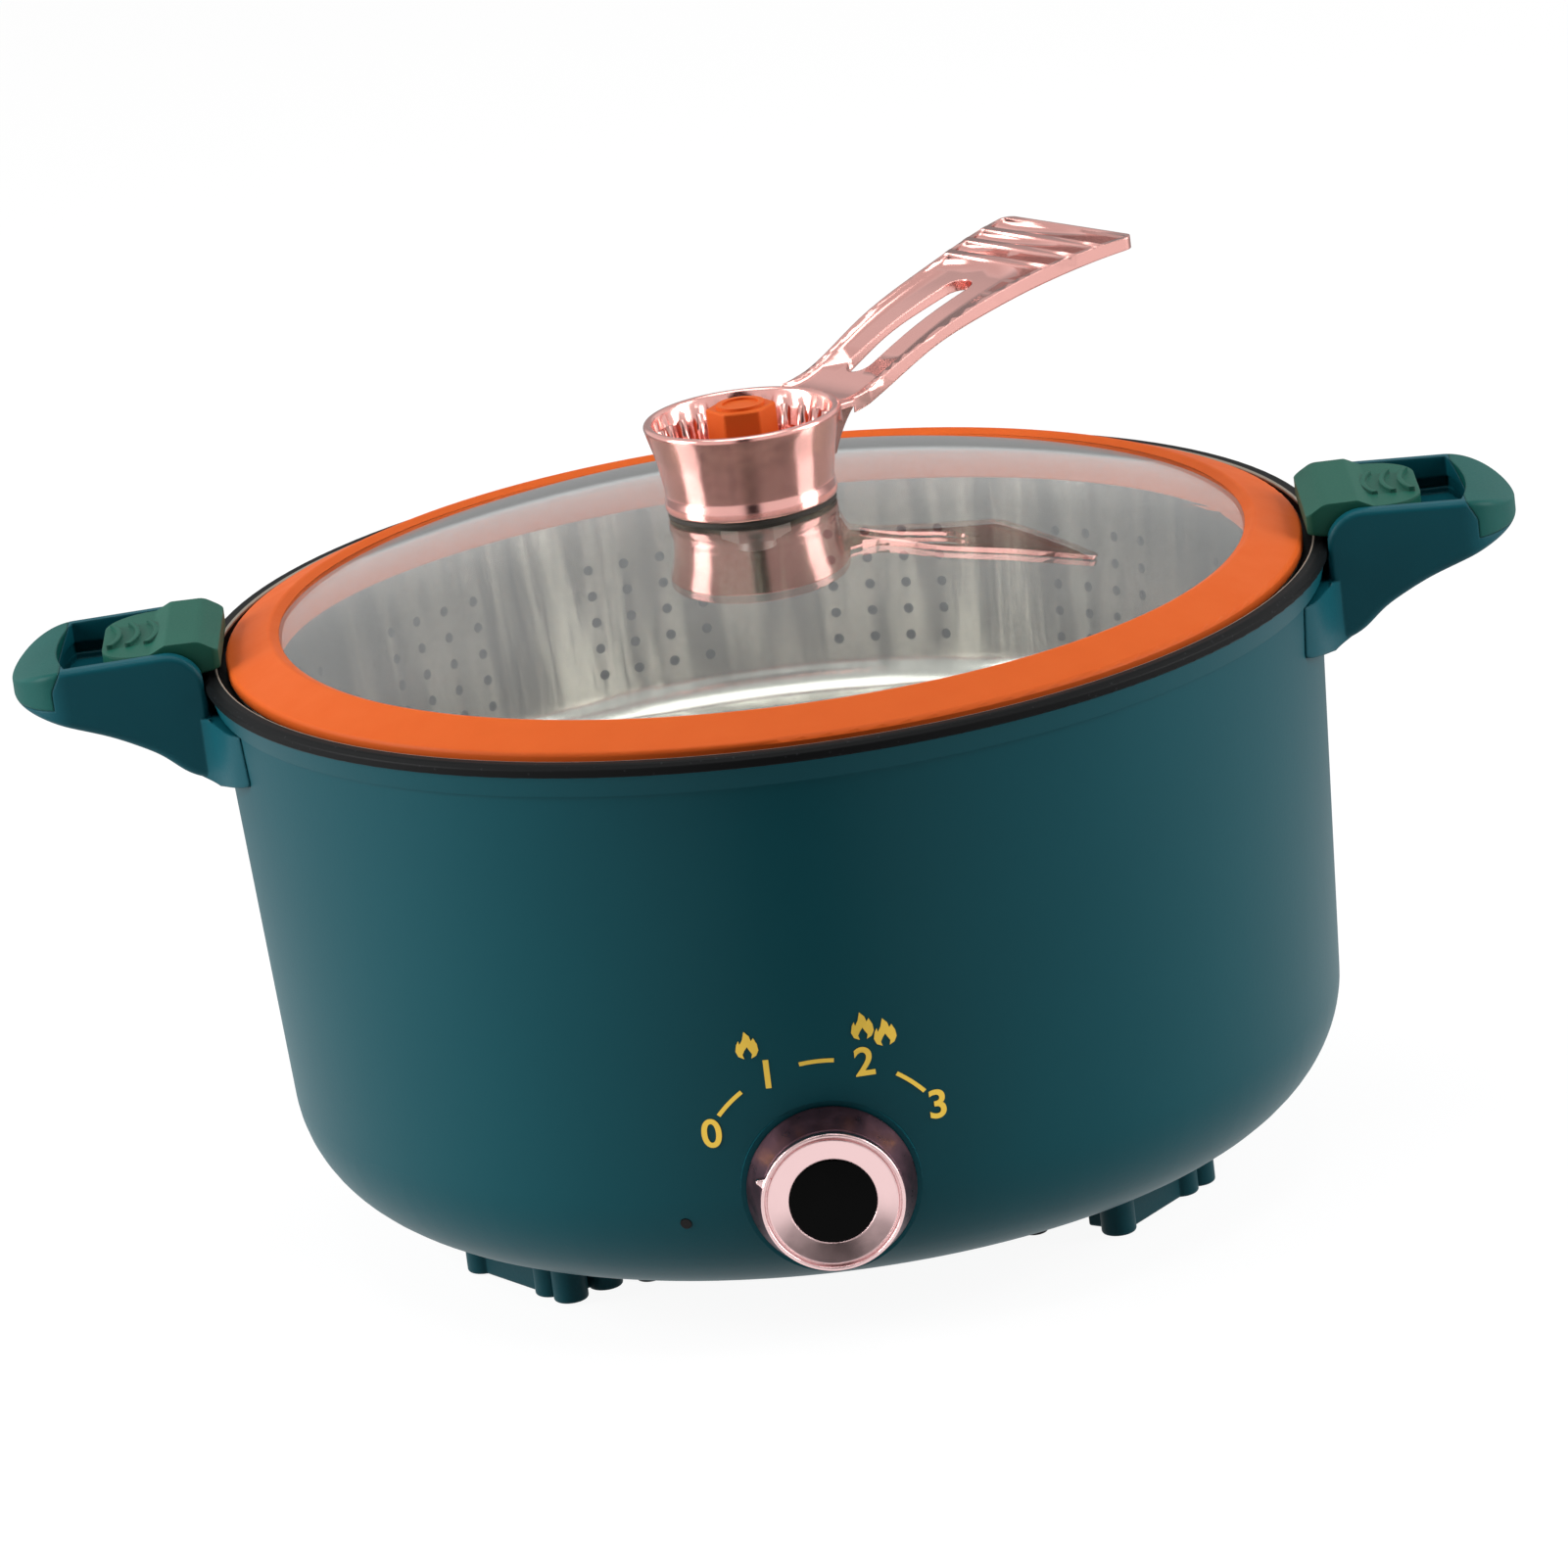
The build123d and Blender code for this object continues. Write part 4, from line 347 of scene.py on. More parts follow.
for name, code, deep, rough, grain_mm, wearers in PLASTICS:
    wear(wearers, moulded_plastic(name, code, deep, rough, grain_mm))
print("plastics", len(PLASTICS))

# %% [markdown]
# The lid ring and the valve are orange silicone. Silicone takes dust and touch as a faint mottling of its gloss, and
# lets a little light into itself.


# %% Orange silicone
def orange_silicone():
    """Warm soft orange: light that enters takes the hard edge off every shadow on it."""
    soft_skin = {"Specular IOR Level": 0.1, "Subsurface Weight": 0.08, "Subsurface Radius": (0.004, 0.0015, 0.0008)}
    material, tree, shader, place = start_material("orange_silicone", soft_skin)
    mottle = add(tree, "ShaderNodeTexNoise", None, {"Vector": place, "Scale": per_mm(9), "Detail": 4.0})
    shades = {"Factor": mottle.outputs["Fac"], "A": linear("dc6326"), "B": linear("d65d22")}
    tint = add(tree, "ShaderNodeMix", MIX_COLOURS, shades)
    tree.links.new(tint.outputs["Result"], shader.inputs["Base Color"])
    dull = add(tree, "ShaderNodeMapRange", None, {"Value": mottle.outputs["Fac"], "To Min": 0.42, "To Max": 0.56})
    tree.links.new(dull.outputs[0], shader.inputs["Roughness"])
    return material


wear(["lid_gasket", "valve_cap", "valve_seat"], orange_silicone())
print("silicone done")

# %% [markdown]
# Cup, arm and knob ring are plated plastic in rose gold: a mirror with the slight waves of the moulding below it. The
# knob's skirt is plated too, in a dark smoky tone. Touch leaves smears, which are a little duller than the clean plate.

# %% Plated plastics
PLATED_EDGE = 0.6
CLEAN_SHARE, SMEARED_SHARE = 0.6, 1.5


def plated(name, code, rough, wave):
    """A tinted mirror whose images bend a little and blur where it was touched."""
    material, tree, shader, place = start_material(name, {"Base Color": linear(code), "Metallic": 1.0})
    smear = add(tree, "ShaderNodeTexNoise", None, {"Vector": place, "Scale": per_mm(4), "Detail": 5.0})
    span = {"Value": smear.outputs["Fac"], "To Min": rough * CLEAN_SHARE, "To Max": rough * SMEARED_SHARE}
    dull = add(tree, "ShaderNodeMapRange", None, span)
    tree.links.new(dull.outputs[0], shader.inputs["Roughness"])
    ripple = add(tree, "ShaderNodeTexNoise", None, {"Vector": place, "Scale": per_mm(14), "Detail": 1.0})
    edge = add(tree, "ShaderNodeBevel", {"samples": 4}, {"Radius": PLATED_EDGE * MM})
    relief = {"Height": ripple.outputs["Fac"], "Strength": wave, "Distance": 0.001, "Normal": edge.outputs[0]}
    bump = add(tree, "ShaderNodeBump", None, relief)
    tree.links.new(bump.outputs[0], shader.inputs["Normal"])
    return material


rose = plated("rose_plating", "ecb0a8", 0.16, 0.12)
wear(["knob_ring"], plated("pale_rose_plating", "f6d2d2", 0.14, 0.06))
wear(["knob_skirt"], plated("smoky_plating", "6a4c56", 0.3, 0.04))
print("plating done")

# %% [markdown]
# The pieces inside are zinc-plated steel, black steel, cast aluminium, annealed steel and brass. Plating, casting and
# annealing each leave a fine even grain, which differs in size.

# %% Bare metals
METAL_GLOSS, METAL_DULL = 0.08, 0.12


def bare_metal(name, code, rough, grain_mm):
    """A dull mirror with an even sparkle."""
    material, tree, shader, place = start_material(name, {"Base Color": linear(code), "Metallic": 1.0})
    grain = add(tree, "ShaderNodeTexNoise", None, {"Vector": place, "Scale": per_mm(grain_mm), "Detail": 4.0})
    span = {"Value": grain.outputs["Fac"], "To Min": rough - METAL_GLOSS, "To Max": rough + METAL_DULL}
    dull = add(tree, "ShaderNodeMapRange", None, span)
    tree.links.new(dull.outputs[0], shader.inputs["Roughness"])
    bump = add(tree, "ShaderNodeBump", None, {"Height": grain.outputs["Fac"], "Strength": 0.12, "Distance": 0.0002})
    tree.links.new(bump.outputs[0], shader.inputs["Normal"])
    return material


METALS = (
    ("zinc_plate", "c4c4c2", 0.32, 1.5, ["lid_nut", "vent_tube", "control_shaft", "bush_nut", "thermostat_bracket",
                                         "inlet_screws", "handle_screws_left", "handle_screws_right", "fuse_clip",
                                         "earth_stud"]),
    # Dark heads, which do not show under the wall.
    ("black_oxide_steel", "202022", 0.4, 1.5, ["base_screws"]),
    ("cast_aluminium", "c9cacb", 0.42, 0.9, ["heat_plate"]),
    # Browned by heat.
    ("annealed_steel", "8f8880", 0.4, 2.0, ["heater_tube"]),
    ("brass", "d8b873", 0.25, 1.0, ["thermostat_tabs", "cutout_tabs", "inlet_pins", "heater_pins"]),
)
for name, code, rough, grain_mm, wearers in METALS:
    wear(wearers, bare_metal(name, code, rough, grain_mm))
print("metals", len(METALS))

# %% [markdown]
# The cooking pot has a dark coating with fine light specks in it, as sprayed non-stick has. The inner edge of its rim
# is turned bare after coating, which leaves a thin line of aluminium. Everything inside one radius and above one height
# is that edge, so the shader finds it from the place alone.

# %% Non-stick coating
BARE_RADIUS, BARE_HEIGHT = 146.4, 162.6
SPECK_EDGE, SPECK_END = 0.1, 0.16     # a speck's edge, as shares of its cell


def speckled_coating():
    """Near black with a sprinkle of grey, and a pale metal line round the opening."""
    material, tree, shader, place = start_material("speckled_coating", {"Roughness": 0.5, "Specular IOR Level": 0.1})
    specks = add(tree, "ShaderNodeTexVoronoi", None, {"Vector": place, "Scale": per_mm(2.2), "Randomness": 1.0})
    span = {"Value": specks.outputs["Distance"], "From Min": SPECK_EDGE, "From Max": SPECK_END}
    dots = add(tree, "ShaderNodeMapRange", None, span)
    shades = {"Factor": dots.outputs[0], "A": linear("222325"), "B": linear("08090a")}
    tint = add(tree, "ShaderNodeMix", MIX_COLOURS, shades)
    part = add(tree, "ShaderNodeSeparateXYZ", None, {0: place}).outputs
    flat = add(tree, "ShaderNodeCombineXYZ", None, {"X": part["X"], "Y": part["Y"]}).outputs[0]
    radius = add(tree, "ShaderNodeVectorMath", {"operation": "LENGTH"}, {0: flat}).outputs["Value"]
    inside = add(tree, "ShaderNodeMath", {"operation": "LESS_THAN"}, {0: radius, 1: BARE_RADIUS * MM}).outputs[0]
    above = add(tree, "ShaderNodeMath", {"operation": "GREATER_THAN"}, {0: part["Z"], 1: BARE_HEIGHT * MM}).outputs[0]
    bare = add(tree, "ShaderNodeMath", {"operation": "MULTIPLY"}, {0: inside, 1: above}).outputs[0]
    shades = {"Factor": bare, "A": tint.outputs["Result"], "B": linear("a89e90")}
    finish = add(tree, "ShaderNodeMix", MIX_COLOURS, shades)
    tree.links.new(finish.outputs["Result"], shader.inputs["Base Color"])
    tree.links.new(bare, shader.inputs["Metallic"])
    return material


wear(["inner_pot"], speckled_coating())
print("coating done")

# %% [markdown]
# The knob's front disc is black gloss plastic with a trace of touch, and the lamp's lens is amber, moulded in small
# facets that spread the light. Unlit, it looks almost black.

# %% Gloss disc and lens
# A deep black that only mirrors faintly.
gloss, tree, shader, place = start_material("black_gloss", {"Base Color": linear("020202"), "Specular IOR Level": 0.06})
smear = add(tree, "ShaderNodeTexNoise", None, {"Vector": place, "Scale": per_mm(6), "Detail": 3.0})
dull = add(tree, "ShaderNodeMapRange", None, {"Value": smear.outputs["Fac"], "To Min": 0.1, "To Max": 0.2})
tree.links.new(dull.outputs[0], shader.inputs["Roughness"])
wear(["knob_disc"], gloss)
# A dark warm glint, broken up by the facets.
unlit = {"Base Color": linear("0c0605"), "Specular IOR Level": 0.2, "Roughness": 0.15}
lens, tree, shader, place = start_material("amber_lens", unlit)
facets = add(tree, "ShaderNodeTexVoronoi", None, {"Vector": place, "Scale": per_mm(0.8)})
bump = add(tree, "ShaderNodeBump", None, {"Height": facets.outputs["Distance"], "Strength": 0.3, "Distance": 0.0002})
tree.links.new(bump.outputs[0], shader.inputs["Normal"])
wear(["indicator_lens"], lens)
print("disc and lens done")

# %% [markdown]
# The lid is clear tempered glass. Lamps shine through real glass, but a path tracer loses most of that light, so the
# shader turns clear for shadow rays. To the eye it is almost nothing but its edge and a few soft reflections.

# %% Lid glass
glass = bpy.data.materials.new("tempered_glass")
glass.use_nodes = True
tree = glass.node_tree
tree.nodes.clear()
pane = {"Base Color": linear("f4f8f7"), "IOR": 1.5, "Roughness": 0.0, "Transmission Weight": 1.0}
clear = add(tree, "ShaderNodeBsdfPrincipled", None, pane)
through = add(tree, "ShaderNodeBsdfTransparent", None, {"Color": linear("f0f5f3")})
shadow = add(tree, "ShaderNodeLightPath").outputs["Is Shadow Ray"]
mix = add(tree, "ShaderNodeMixShader", None, {0: shadow, 1: clear.outputs[0], 2: through.outputs[0]})
add(tree, "ShaderNodeOutputMaterial", None, {"Surface": mix.outputs[0]})
wear(["lid_glass"], glass)
print("glass done")

# %% [markdown]
# ## Grip arm
# On the real lid the arm narrows just before it runs into the cup. Two upright cutters beside its root take that corner
# off a copy of the solid: each is a prism that leaves the cup's round wall alone and stops where the arm is as narrow.

# %% Root cutters
ARM_TURN = radians(39.0)
CUP_RADIUS, NECK_HALF, NECK_END, CUTTER_HALF = 26.35, 14.7, 34.3, 21.0
CUTTER_LOW, CUTTER_HIGH = 200.0, 216.0
ROUND_STEPS = 8
along_arm = Matrix.Rotation(ARM_TURN, 4, "Z")
asides = [NECK_HALF + step * (CUTTER_HALF - NECK_HALF) / ROUND_STEPS for step in range(ROUND_STEPS + 1)]
plan = [((CUP_RADIUS ** 2 - aside ** 2) ** 0.5, aside) for aside in asides]
plan += [(NECK_END, CUTTER_HALF), (NECK_END, NECK_HALF)]
cutters = bmesh.new()
for side in (1, -1):
    low, high = ([cutters.verts.new(along_arm @ Vector((x, side * y, z)) * MM) for x, y in plan]
                 for z in (CUTTER_LOW, CUTTER_HIGH))
    cutters.faces.new(low)
    cutters.faces.new(high)
    for here in range(len(plan)):
        ahead = (here + 1) % len(plan)
        cutters.faces.new((low[here], low[ahead], high[ahead], high[here]))
bmesh.ops.recalc_face_normals(cutters, faces=cutters.faces[:])
cutter_mesh = bpy.data.meshes.new("arm_cutters")
cutters.to_mesh(cutter_mesh)
cutters.free()
cutter = bpy.data.objects.new("arm_cutters", cutter_mesh)
bpy.context.scene.collection.objects.link(cutter)
print("cutters", len(cutter_mesh.polygons), "faces")

# %% [markdown]
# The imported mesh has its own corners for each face. They are merged first, because a cut needs a closed surface. The
# cut is then worked out into a plain mesh, so that the piece needs no modifier, and its true edges are kept sharp.

# %% Trimmed grip arm
SHARP_ANGLE = radians(30)
WELD = 1e-6


def worked_out(thing):
    """Mesh of an object with its modifiers applied."""
    return bpy.data.meshes.new_from_object(thing.evaluated_get(bpy.context.evaluated_depsgraph_get()))


def take_shape(thing, mesh, material):
    """Gives an object its worked-out mesh in one material, smooth but for its true edges."""
    thing.modifiers.clear()
    thing.data = mesh
    mesh.materials.clear()
    mesh.materials.append(material)
    mesh.shade_smooth()
    mesh.set_sharp_from_angle(angle=SHARP_ANGLE)


arm = bpy.data.objects.new("trimmed_arm", nodes["lid_handle"].data.copy())
bpy.context.scene.collection.objects.link(arm)
shape = bmesh.new()
shape.from_mesh(arm.data)
bmesh.ops.remove_doubles(shape, verts=shape.verts[:], dist=WELD)
shape.to_mesh(arm.data)
shape.free()
trim = arm.modifiers.new("trim", "BOOLEAN")
trim.operation = "DIFFERENCE"
trim.solver = "MANIFOLD"
trim.object = cutter
take_shape(arm, worked_out(arm), rose)
bpy.data.objects.remove(cutter)
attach(arm, "lid")
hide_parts("lid_handle")
print("arm", len(arm.data.polygons), "faces")

# %% [markdown]
# ## Steamer basket
# The basket is drawn from thin stainless sheet. Drawing and polishing leave faint upright waves in its wall, which pull
# every mirror image into streaks. The waves are a noise laid out round the wall: along the arc at full scale, and
# up the wall stretched eight times. They fade out where the wall turns into the floor, which is pressed flat.
# The same waves also paint light and dark streaks into the steel's colour; these streaks are painted reflections.

# %% Drawn steel
ARC_RADIUS = 0.13                          # turns an angle round the wall into a length along it
WAVE_STRETCH = 0.12                        # waves about eight times as tall as wide
FLOOR_END, WALL_START = 0.098, 0.112       # heights between which the floor turns into the wall
NO_WAVE = 0.5
# At these wave heights the painted reflection streaks in the colour are fully dark and fully bright.
STREAK_DARK_WAVE, STREAK_BRIGHT_WAVE = 0.36, 0.6            # wave heights that are fully dark and fully bright


def drawn_steel():
    """Bright steel with soft upright streaks of light and dark painted into its colour as reflections."""
    material, tree, shader, place = start_material("drawn_steel", {"Metallic": 1.0})
    part = add(tree, "ShaderNodeSeparateXYZ", None, {0: place}).outputs
    turn = add(tree, "ShaderNodeMath", {"operation": "ARCTAN2"}, {0: part["Y"], 1: part["X"]}).outputs[0]
    arc = add(tree, "ShaderNodeMath", {"operation": "MULTIPLY"}, {0: turn, 1: ARC_RADIUS}).outputs[0]
    rise = add(tree, "ShaderNodeMath", {"operation": "MULTIPLY"}, {0: part["Z"], 1: WAVE_STRETCH}).outputs[0]
    wall = add(tree, "ShaderNodeCombineXYZ", None, {"X": arc, "Z": rise}).outputs[0]
    waves = add(tree, "ShaderNodeTexNoise", None, {"Vector": wall, "Scale": per_mm(9), "Detail": 3.0}).outputs["Fac"]
    span = {"Value": part["Z"], "From Min": FLOOR_END, "From Max": WALL_START}
    on_wall = add(tree, "ShaderNodeMapRange", SOFT_ENDS, span).outputs[0]
    waves = add(tree, "ShaderNodeMix", MIX_NUMBERS, {"Factor": on_wall, "A": NO_WAVE, "B": waves}).outputs[0]
    # Painted reflection: upright light and dark streaks put into the base colour.
    span = {"Value": waves, "From Min": STREAK_DARK_WAVE, "From Max": STREAK_BRIGHT_WAVE}
    painted_streaks = add(tree, "ShaderNodeMapRange", SOFT_ENDS, span).outputs[0]
    tint = add(tree, "ShaderNodeMix", MIX_COLOURS, {"Factor": painted_streaks, "A": linear("7d7871"), "B": linear("ccc8c0")})
    tree.links.new(tint.outputs["Result"], shader.inputs["Base Color"])
    fine = add(tree, "ShaderNodeTexNoise", None, {"Vector": place, "Scale": per_mm(2), "Detail": 3.0}).outputs["Fac"]
    dull = add(tree, "ShaderNodeMapRange", None, {"Value": fine, "To Min": 0.12, "To Max": 0.3})
    tree.links.new(dull.outputs[0], shader.inputs["Roughness"])
    bump = add(tree, "ShaderNodeBump", None, {"Height": waves, "Strength": 0.8, "Distance": 0.001})
    tree.links.new(bump.outputs[0], shader.inputs["Normal"])
    return material


steel = drawn_steel()
print("steel", len(steel.node_tree.nodes), "nodes")

# %% [markdown]
# Steam comes through groups of small punched holes in the wall and rings of holes in the floor. Geometry Nodes set one
# point for each hole from its number, put a drill on each point, and cut all the drills from the basket's sheet. The
# sizes are inputs of the tree, in metres and radians.

# %% Sizes of the perforations
HOLE_SIZES = {"Hole radius": 0.0014, "Column pitch": radians(4.6), "Row pitch": 0.0075, "First row": 0.1105,
              "Wall radius": 0.1295, "Wall slope": tan(radians(5.2)), "First ring": 0.02, "Ring pitch": 0.016,
              "Floor height": 0.0951}
HOLE_COUNTS = {"Groups": 12, "Columns": 4, "Rows": 5, "Rings": 6}
hole_tree = bpy.data.node_groups.new("perforations", "GeometryNodeTree")
hole_tree.interface.new_socket(name="Sheet", in_out="INPUT", socket_type="NodeSocketGeometry")
keys = {}
for kind, sizes in (("NodeSocketFloat", HOLE_SIZES), ("NodeSocketInt", HOLE_COUNTS)):
    for name, value in sizes.items():
        keys[hole_tree.interface.new_socket(name=name, in_out="INPUT", socket_type=kind).identifier] = value
hole_tree.interface.new_socket(name="Geometry", in_out="OUTPUT", socket_type="NodeSocketGeometry")
given = add(hole_tree, "NodeGroupInput").outputs
print("inputs", len(keys))

# %% [markdown]
# A wall hole's number counts through the columns of a group, the groups of a row and the rows. Ring k of the floor has
# 8(k + 1) holes, so 4k(k + 1) holes lie inside it. A floor hole's ring follows from its number by turning that sum
# round, which takes a square root. Each line of the tables is one sum: its name, its kind and what goes into it.

# %% A hole's place from its number
WALL_SUMS = (
    ("per row", "MULTIPLY", "Groups", "Columns"),
    ("rows done", "DIVIDE", "number", "per row"),
    ("row", "FLOOR", "rows done"),
    ("in row", "MODULO", "number", "per row"),
    ("groups done", "DIVIDE", "in row", "Columns"),
    ("group", "FLOOR", "groups done"),
    ("column", "MODULO", "in row", "Columns"),
    ("last column", "SUBTRACT", "Columns", 1.0),
    ("middle column", "MULTIPLY", "last column", 0.5),
    ("off middle", "SUBTRACT", "column", "middle column"),
    ("spread", "MULTIPLY", "off middle", "Column pitch"),
    ("sector", "DIVIDE", 2 * pi, "Groups"),
    ("group middle", "ADD", "group", 0.5),
    ("group turn", "MULTIPLY", "group middle", "sector"),
    ("wall turn", "ADD", "group turn", "spread"),
    ("climb", "MULTIPLY", "row", "Row pitch"),
    ("lean", "MULTIPLY", "climb", "Wall slope"),
    ("wall out", "ADD", "Wall radius", "lean"),
    ("wall height", "ADD", "First row", "climb"),
    ("wall count", "MULTIPLY", "per row", "Rows"),
)
FLOOR_SUMS = (
    ("next number", "ADD", "number", 1.0),
    ("root", "SQRT", "next number"),
    ("root less one", "SUBTRACT", "root", 1.0),
    ("rings done", "MULTIPLY", "root less one", 0.5),
    ("ring", "FLOOR", "rings done"),
    ("next ring", "ADD", "ring", 1.0),
    ("ring product", "MULTIPLY", "ring", "next ring"),
    ("inside", "MULTIPLY", "ring product", 4.0),
    ("in ring", "SUBTRACT", "number", "inside"),
    ("ring holes", "MULTIPLY", "next ring", 8.0),
    ("share", "DIVIDE", "in ring", "ring holes"),
    ("floor turn", "MULTIPLY", "share", 2 * pi),
    ("outward", "MULTIPLY", "ring", "Ring pitch"),
    ("floor out", "ADD", "First ring", "outward"),
    ("rings and one", "ADD", "Rings", 1.0),
    ("rings product", "MULTIPLY", "Rings", "rings and one"),
    ("floor count", "MULTIPLY", "rings product", 4.0),
)
found = {name: given[name] for name in (*HOLE_SIZES, *HOLE_COUNTS)}
found["number"] = add(hole_tree, "GeometryNodeInputIndex").outputs[0]
for name, operation, *terms in WALL_SUMS + FLOOR_SUMS:
    sockets = {place: found.get(term, term) for place, term in enumerate(terms)}
    found[name] = add(hole_tree, "ShaderNodeMath", {"operation": operation}, sockets).outputs[0]
print("sums", len(WALL_SUMS) + len(FLOOR_SUMS))

# %% [markdown]
# A drill is a short cylinder. The wall's drills lie down and point outward, the floor's stand upright.

# %% Drills
DRILL_SIDES, DRILL_LENGTH = 20, 0.008


def drills(count, turn, radius, height, tilt):
    """One drill at each of so many points, given round, out and up by the point's number."""
    line = add(hole_tree, "GeometryNodeMeshLine", None, {"Count": count})
    spot = add(hole_tree, "ShaderNodeCombineXYZ", None, {"Z": height})
    for axis, operation in (("X", "COSINE"), ("Y", "SINE")):
        part = add(hole_tree, "ShaderNodeMath", {"operation": operation}, {0: turn}).outputs[0]
        part = add(hole_tree, "ShaderNodeMath", {"operation": "MULTIPLY"}, {0: part, 1: radius}).outputs[0]
        hole_tree.links.new(part, spot.inputs[axis])
    placed = add(hole_tree, "GeometryNodeSetPosition", None, {0: line.outputs[0], "Position": spot.outputs[0]})
    sizes = {"Vertices": DRILL_SIDES, "Radius": given["Hole radius"], "Depth": DRILL_LENGTH}
    drill = add(hole_tree, "GeometryNodeMeshCylinder", None, sizes)
    aim = add(hole_tree, "ShaderNodeCombineXYZ", None, {"Y": tilt, "Z": turn})
    sockets = {0: placed.outputs[0], "Instance": drill.outputs[0], "Rotation": aim.outputs[0]}
    copies = add(hole_tree, "GeometryNodeInstanceOnPoints", None, sockets)
    return add(hole_tree, "GeometryNodeRealizeInstances", None, {0: copies.outputs[0]}).outputs[0]


wall_drills = drills(found["wall count"], found["wall turn"], found["wall out"], found["wall height"], pi / 2)
floor_drills = drills(found["floor count"], found["floor turn"], found["floor out"], given["Floor height"], 0.0)
print("drill nodes", len(hole_tree.nodes))

# %% [markdown]
# The sheet is welded as the arm was, cut once with all the drills, and worked out into the basket's own mesh. The
# basket rides on the basket's body and takes the place of the plain solid.

# %% Cut the basket
sheet = add(hole_tree, "GeometryNodeMergeByDistance", None, {0: given["Sheet"], "Distance": WELD}).outputs[0]
cut = add(hole_tree, "GeometryNodeMeshBoolean", {"operation": "DIFFERENCE", "solver": "MANIFOLD"}, {"Mesh 1": sheet})
hole_tree.links.new(wall_drills, cut.inputs["Mesh 2"])
hole_tree.links.new(floor_drills, cut.inputs["Mesh 2"])
whole = add(hole_tree, "GeometryNodeRealizeInstances", None, {0: cut.outputs[0]})
steeled = add(hole_tree, "GeometryNodeSetMaterial", None, {0: whole.outputs[0], "Material": steel})
add(hole_tree, "NodeGroupOutput", None, {0: steeled.outputs[0]})
basket = bpy.data.objects.new("perforated_basket", nodes["steamer_basket"].data.copy())
bpy.context.scene.collection.objects.link(basket)
maker = basket.modifiers.new("perforations", "NODES")
maker.node_group = hole_tree
for key, value in keys.items():
    maker[key] = value
take_shape(basket, worked_out(basket), steel)
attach(basket, "basket")
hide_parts("steamer_basket")
print("basket", len(basket.data.polygons), "faces")

# %% [markdown]
# ## Heat scale
# The heat settings are printed round the knob in gold foil: a number for each setting, dashes between them, and one or
# two flames over the middle settings. A print could be a pattern in the paint's shader, but flat outlines laid on the
# wall stay sharp at any distance. They are drawn in millimetres across and up from the knob's middle.
#
# The foil is hot-stamped: a film of metal that takes on the fine peel of the paint below it.
# Here only a fine grain in its gloss is drawn.

# %% Gold foil
# Yellow metal that flashes in one direction and goes dull in the others.
foil, tree, shader, place = start_material("gold_foil", {"Base Color": linear("e3bd4f"), "Metallic": 1.0})
grain = add(tree, "ShaderNodeTexNoise", None, {"Vector": place, "Scale": per_mm(0.6), "Detail": 2.0})
dull = add(tree, "ShaderNodeMapRange", None, {"Value": grain.outputs["Fac"], "To Min": 0.24, "To Max": 0.36})
tree.links.new(dull.outputs[0], shader.inputs["Roughness"])
print("foil done")

# %% [markdown]
# The dashes repeat along an arc, so Geometry Nodes make them: copies of a strip on a line of points, realized and then
# bent round the arc. Before the bend, X is the turn in radians and Y the distance from the arc.

# %% Dashes along the arc
SCALE_RADIUS = 34.0
DASH_COUNT, DASH_STEPS = 3, 9
DASH_SIZES = {"First turn": radians(-43), "Turn step": radians(43), "Dash turn": radians(15), "Width": 1.1,
              "Radius": SCALE_RADIUS}
dash_tree = bpy.data.node_groups.new("arc_dashes", "GeometryNodeTree")
keys = {}
for name, value in DASH_SIZES.items():
    socket = dash_tree.interface.new_socket(name=name, in_out="INPUT", socket_type="NodeSocketFloat")
    keys[socket.identifier] = value
dash_tree.interface.new_socket(name="Geometry", in_out="OUTPUT", socket_type="NodeSocketGeometry")
given = add(dash_tree, "NodeGroupInput").outputs
first = add(dash_tree, "ShaderNodeCombineXYZ", None, {"X": given["First turn"]}).outputs[0]
step = add(dash_tree, "ShaderNodeCombineXYZ", None, {"X": given["Turn step"]}).outputs[0]
line = add(dash_tree, "GeometryNodeMeshLine", None, {"Count": DASH_COUNT, "Start Location": first, "Offset": step})
sizes = {"Size X": given["Dash turn"], "Size Y": given["Width"], "Vertices X": DASH_STEPS, "Vertices Y": 2}
strip = add(dash_tree, "GeometryNodeMeshGrid", None, sizes)
sockets = {"Points": line.outputs[0], "Instance": strip.outputs[0]}
dashes = add(dash_tree, "GeometryNodeInstanceOnPoints", None, sockets)
plain = add(dash_tree, "GeometryNodeRealizeInstances", None, {0: dashes.outputs[0]})
position = add(dash_tree, "GeometryNodeInputPosition").outputs[0]
spot = add(dash_tree, "ShaderNodeSeparateXYZ", None, {0: position}).outputs
reach = add(dash_tree, "ShaderNodeMath", {"operation": "ADD"}, {0: given["Radius"], 1: spot["Y"]}).outputs[0]
target = add(dash_tree, "ShaderNodeCombineXYZ")
for axis, operation in (("X", "SINE"), ("Y", "COSINE")):
    part = add(dash_tree, "ShaderNodeMath", {"operation": operation}, {0: spot["X"]}).outputs[0]
    part = add(dash_tree, "ShaderNodeMath", {"operation": "MULTIPLY"}, {0: part, 1: reach}).outputs[0]
    dash_tree.links.new(part, target.inputs[axis])
bent = add(dash_tree, "GeometryNodeSetPosition", None, {0: plain.outputs[0], "Position": target.outputs[0]})
foiled = add(dash_tree, "GeometryNodeSetMaterial", None, {0: bent.outputs[0], "Material": foil})
add(dash_tree, "NodeGroupOutput", None, {0: foiled.outputs[0]})
print("dash nodes", len(dash_tree.nodes))

# %% [markdown]
# The tree works on an empty object, which goes once its mesh is made. That mesh is the first of the flat marks.

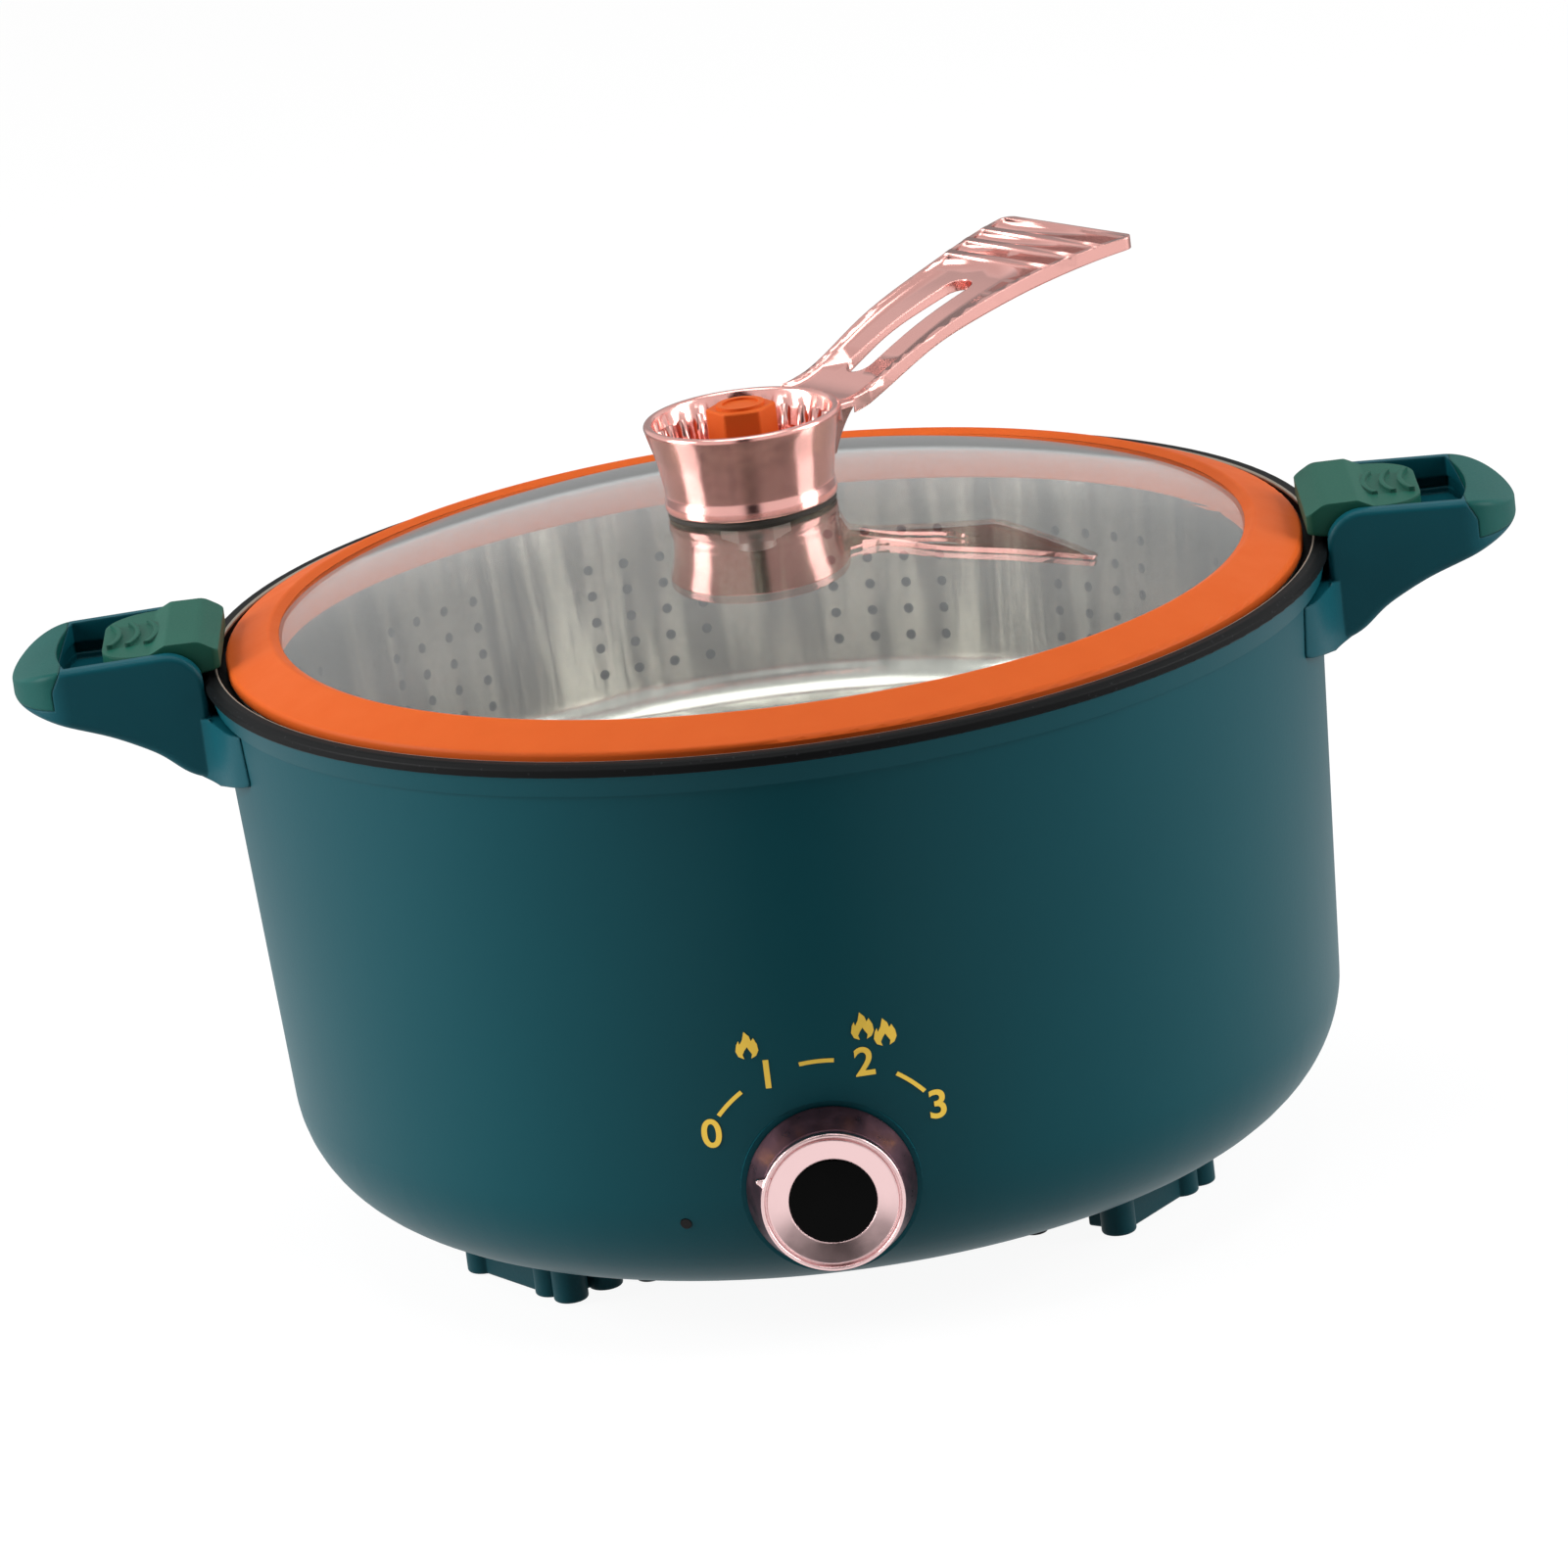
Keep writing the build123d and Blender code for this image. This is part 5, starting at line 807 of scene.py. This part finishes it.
# %% Make the dashes
dash_object = bpy.data.objects.new("scale_dashes", bpy.data.meshes.new("scale_dashes"))
bpy.context.scene.collection.objects.link(dash_object)
maker = dash_object.modifiers.new("arc_dashes", "NODES")
maker.node_group = dash_tree
for key, value in keys.items():
    maker[key] = value
flat_marks = [worked_out(dash_object)]
bpy.data.objects.remove(dash_object)
print("dashes", len(flat_marks[0].polygons), "faces")

# %% [markdown]
# The numbers are text objects in Blender's own font, turned into meshes. Each has its turn round the knob in degrees
# and its distance from the knob's middle.

# %% Numbers
NUMBERS = {"0": (-60.0, 33.0), "1": (-22.0, 34.0), "2": (20.7, 34.0), "3": (59.6, 33.8)}
NUMBER_HEIGHT = 7.4
DIGIT_SHARE = 0.69       # a digit's height as a share of the font's size
NUMBER_BOLD = 0.2        # each outline grows by this, for a bolder print
for sign, (turn_degrees, radius) in NUMBERS.items():
    letter = bpy.data.curves.new("number", "FONT")
    letter.body = sign
    letter.align_x = "CENTER"
    letter.align_y = "CENTER"
    letter.size = NUMBER_HEIGHT / DIGIT_SHARE
    letter.offset = NUMBER_BOLD
    holder = bpy.data.objects.new("number", letter)
    bpy.context.scene.collection.objects.link(holder)
    flat = worked_out(holder)
    bpy.data.objects.remove(holder)
    aim = radians(turn_degrees)
    flat.transform(Matrix.Translation((radius * sin(aim), radius * cos(aim), 0)))
    flat_marks.append(flat)
print("numbers", len(NUMBERS))

# %% [markdown]
# The flame is one outline of our own with a hollow at its foot, placed three times.

# %% Flames
FLAME_OUTLINE = (
    (-0.9, -3.6), (-2.3, -2.9), (-2.9, -1.4), (-2.5, 0.4), (-1.9, 1.4), (-1.7, 0.3), (-0.9, 1.6), (-0.3, 3.8),
    (0.9, 2.5), (1.3, 1.1), (1.9, 1.9), (2.7, 0.2), (2.9, -1.5), (2.2, -2.9), (0.9, -3.6), (1.2, -2.4), (0.5, -1.2),
    (0.1, -0.4), (-0.6, -1.3), (-1.2, -2.4),
)
FLAMES = ((-23.0, 43.6), (16.6, 43.6), (24.6, 43.2))
for turn_degrees, radius in FLAMES:
    aim = radians(turn_degrees)
    middle = Vector((radius * sin(aim), radius * cos(aim)))
    flat = bpy.data.meshes.new("flame")
    corners = [(middle.x + x, middle.y + y, 0) for x, y in FLAME_OUTLINE]
    flat.from_pydata(corners, [], [tuple(range(len(corners)))[::-1]])
    flat_marks.append(flat)
print("marks", len(flat_marks))

# %% [markdown]
# All marks are joined, cut into small triangles and laid on the cone of the wall, a few hundredths of a millimetre
# proud, as foil is. The wall's radius follows from the shell's step line and its taper.

# %% Lay the marks on the wall
STEP_RADIUS, STEP_HEIGHT, WALL_TAPER = 146.85, 154.6, 3.04
KNOB_HEIGHT = 45.3
FOIL_TOP = 0.1
marks = bmesh.new()
for flat in flat_marks:
    marks.from_mesh(flat)
bmesh.ops.triangulate(marks, faces=marks.faces[:])
bmesh.ops.recalc_face_normals(marks, faces=marks.faces[:])
for vertex in marks.verts:
    height = KNOB_HEIGHT + vertex.co.y
    radius = STEP_RADIUS - (STEP_HEIGHT - height) * tan(radians(WALL_TAPER)) + FOIL_TOP
    vertex.co = Vector((vertex.co.x, -cos(asin(vertex.co.x / radius)) * radius, height)) * MM
for face in marks.faces:
    if face.normal.y > 0:
        face.normal_flip()
print("marks", len(marks.faces), "triangles")

# %% [markdown]
# The laid marks become one object in one material. Solidify gives the film its thickness, inward from its outer face.

# %% Foil with a thickness
FOIL_THICK = 0.07
scale_mesh = bpy.data.meshes.new("heat_scale")
marks.to_mesh(scale_mesh)
marks.free()
scale_mesh.materials.clear()
scale_mesh.materials.append(foil)
for face in scale_mesh.polygons:
    face.material_index = 0
    face.use_smooth = False
heat_scale = bpy.data.objects.new("heat_scale", scale_mesh)
bpy.context.scene.collection.objects.link(heat_scale)
thick = heat_scale.modifiers.new("foil", "SOLIDIFY")
thick.thickness = FOIL_THICK * MM
thick.offset = -1
solid = worked_out(heat_scale)
heat_scale.modifiers.clear()
heat_scale.data = solid
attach(heat_scale, "pot")
print("heat scale", len(solid.polygons), "faces")
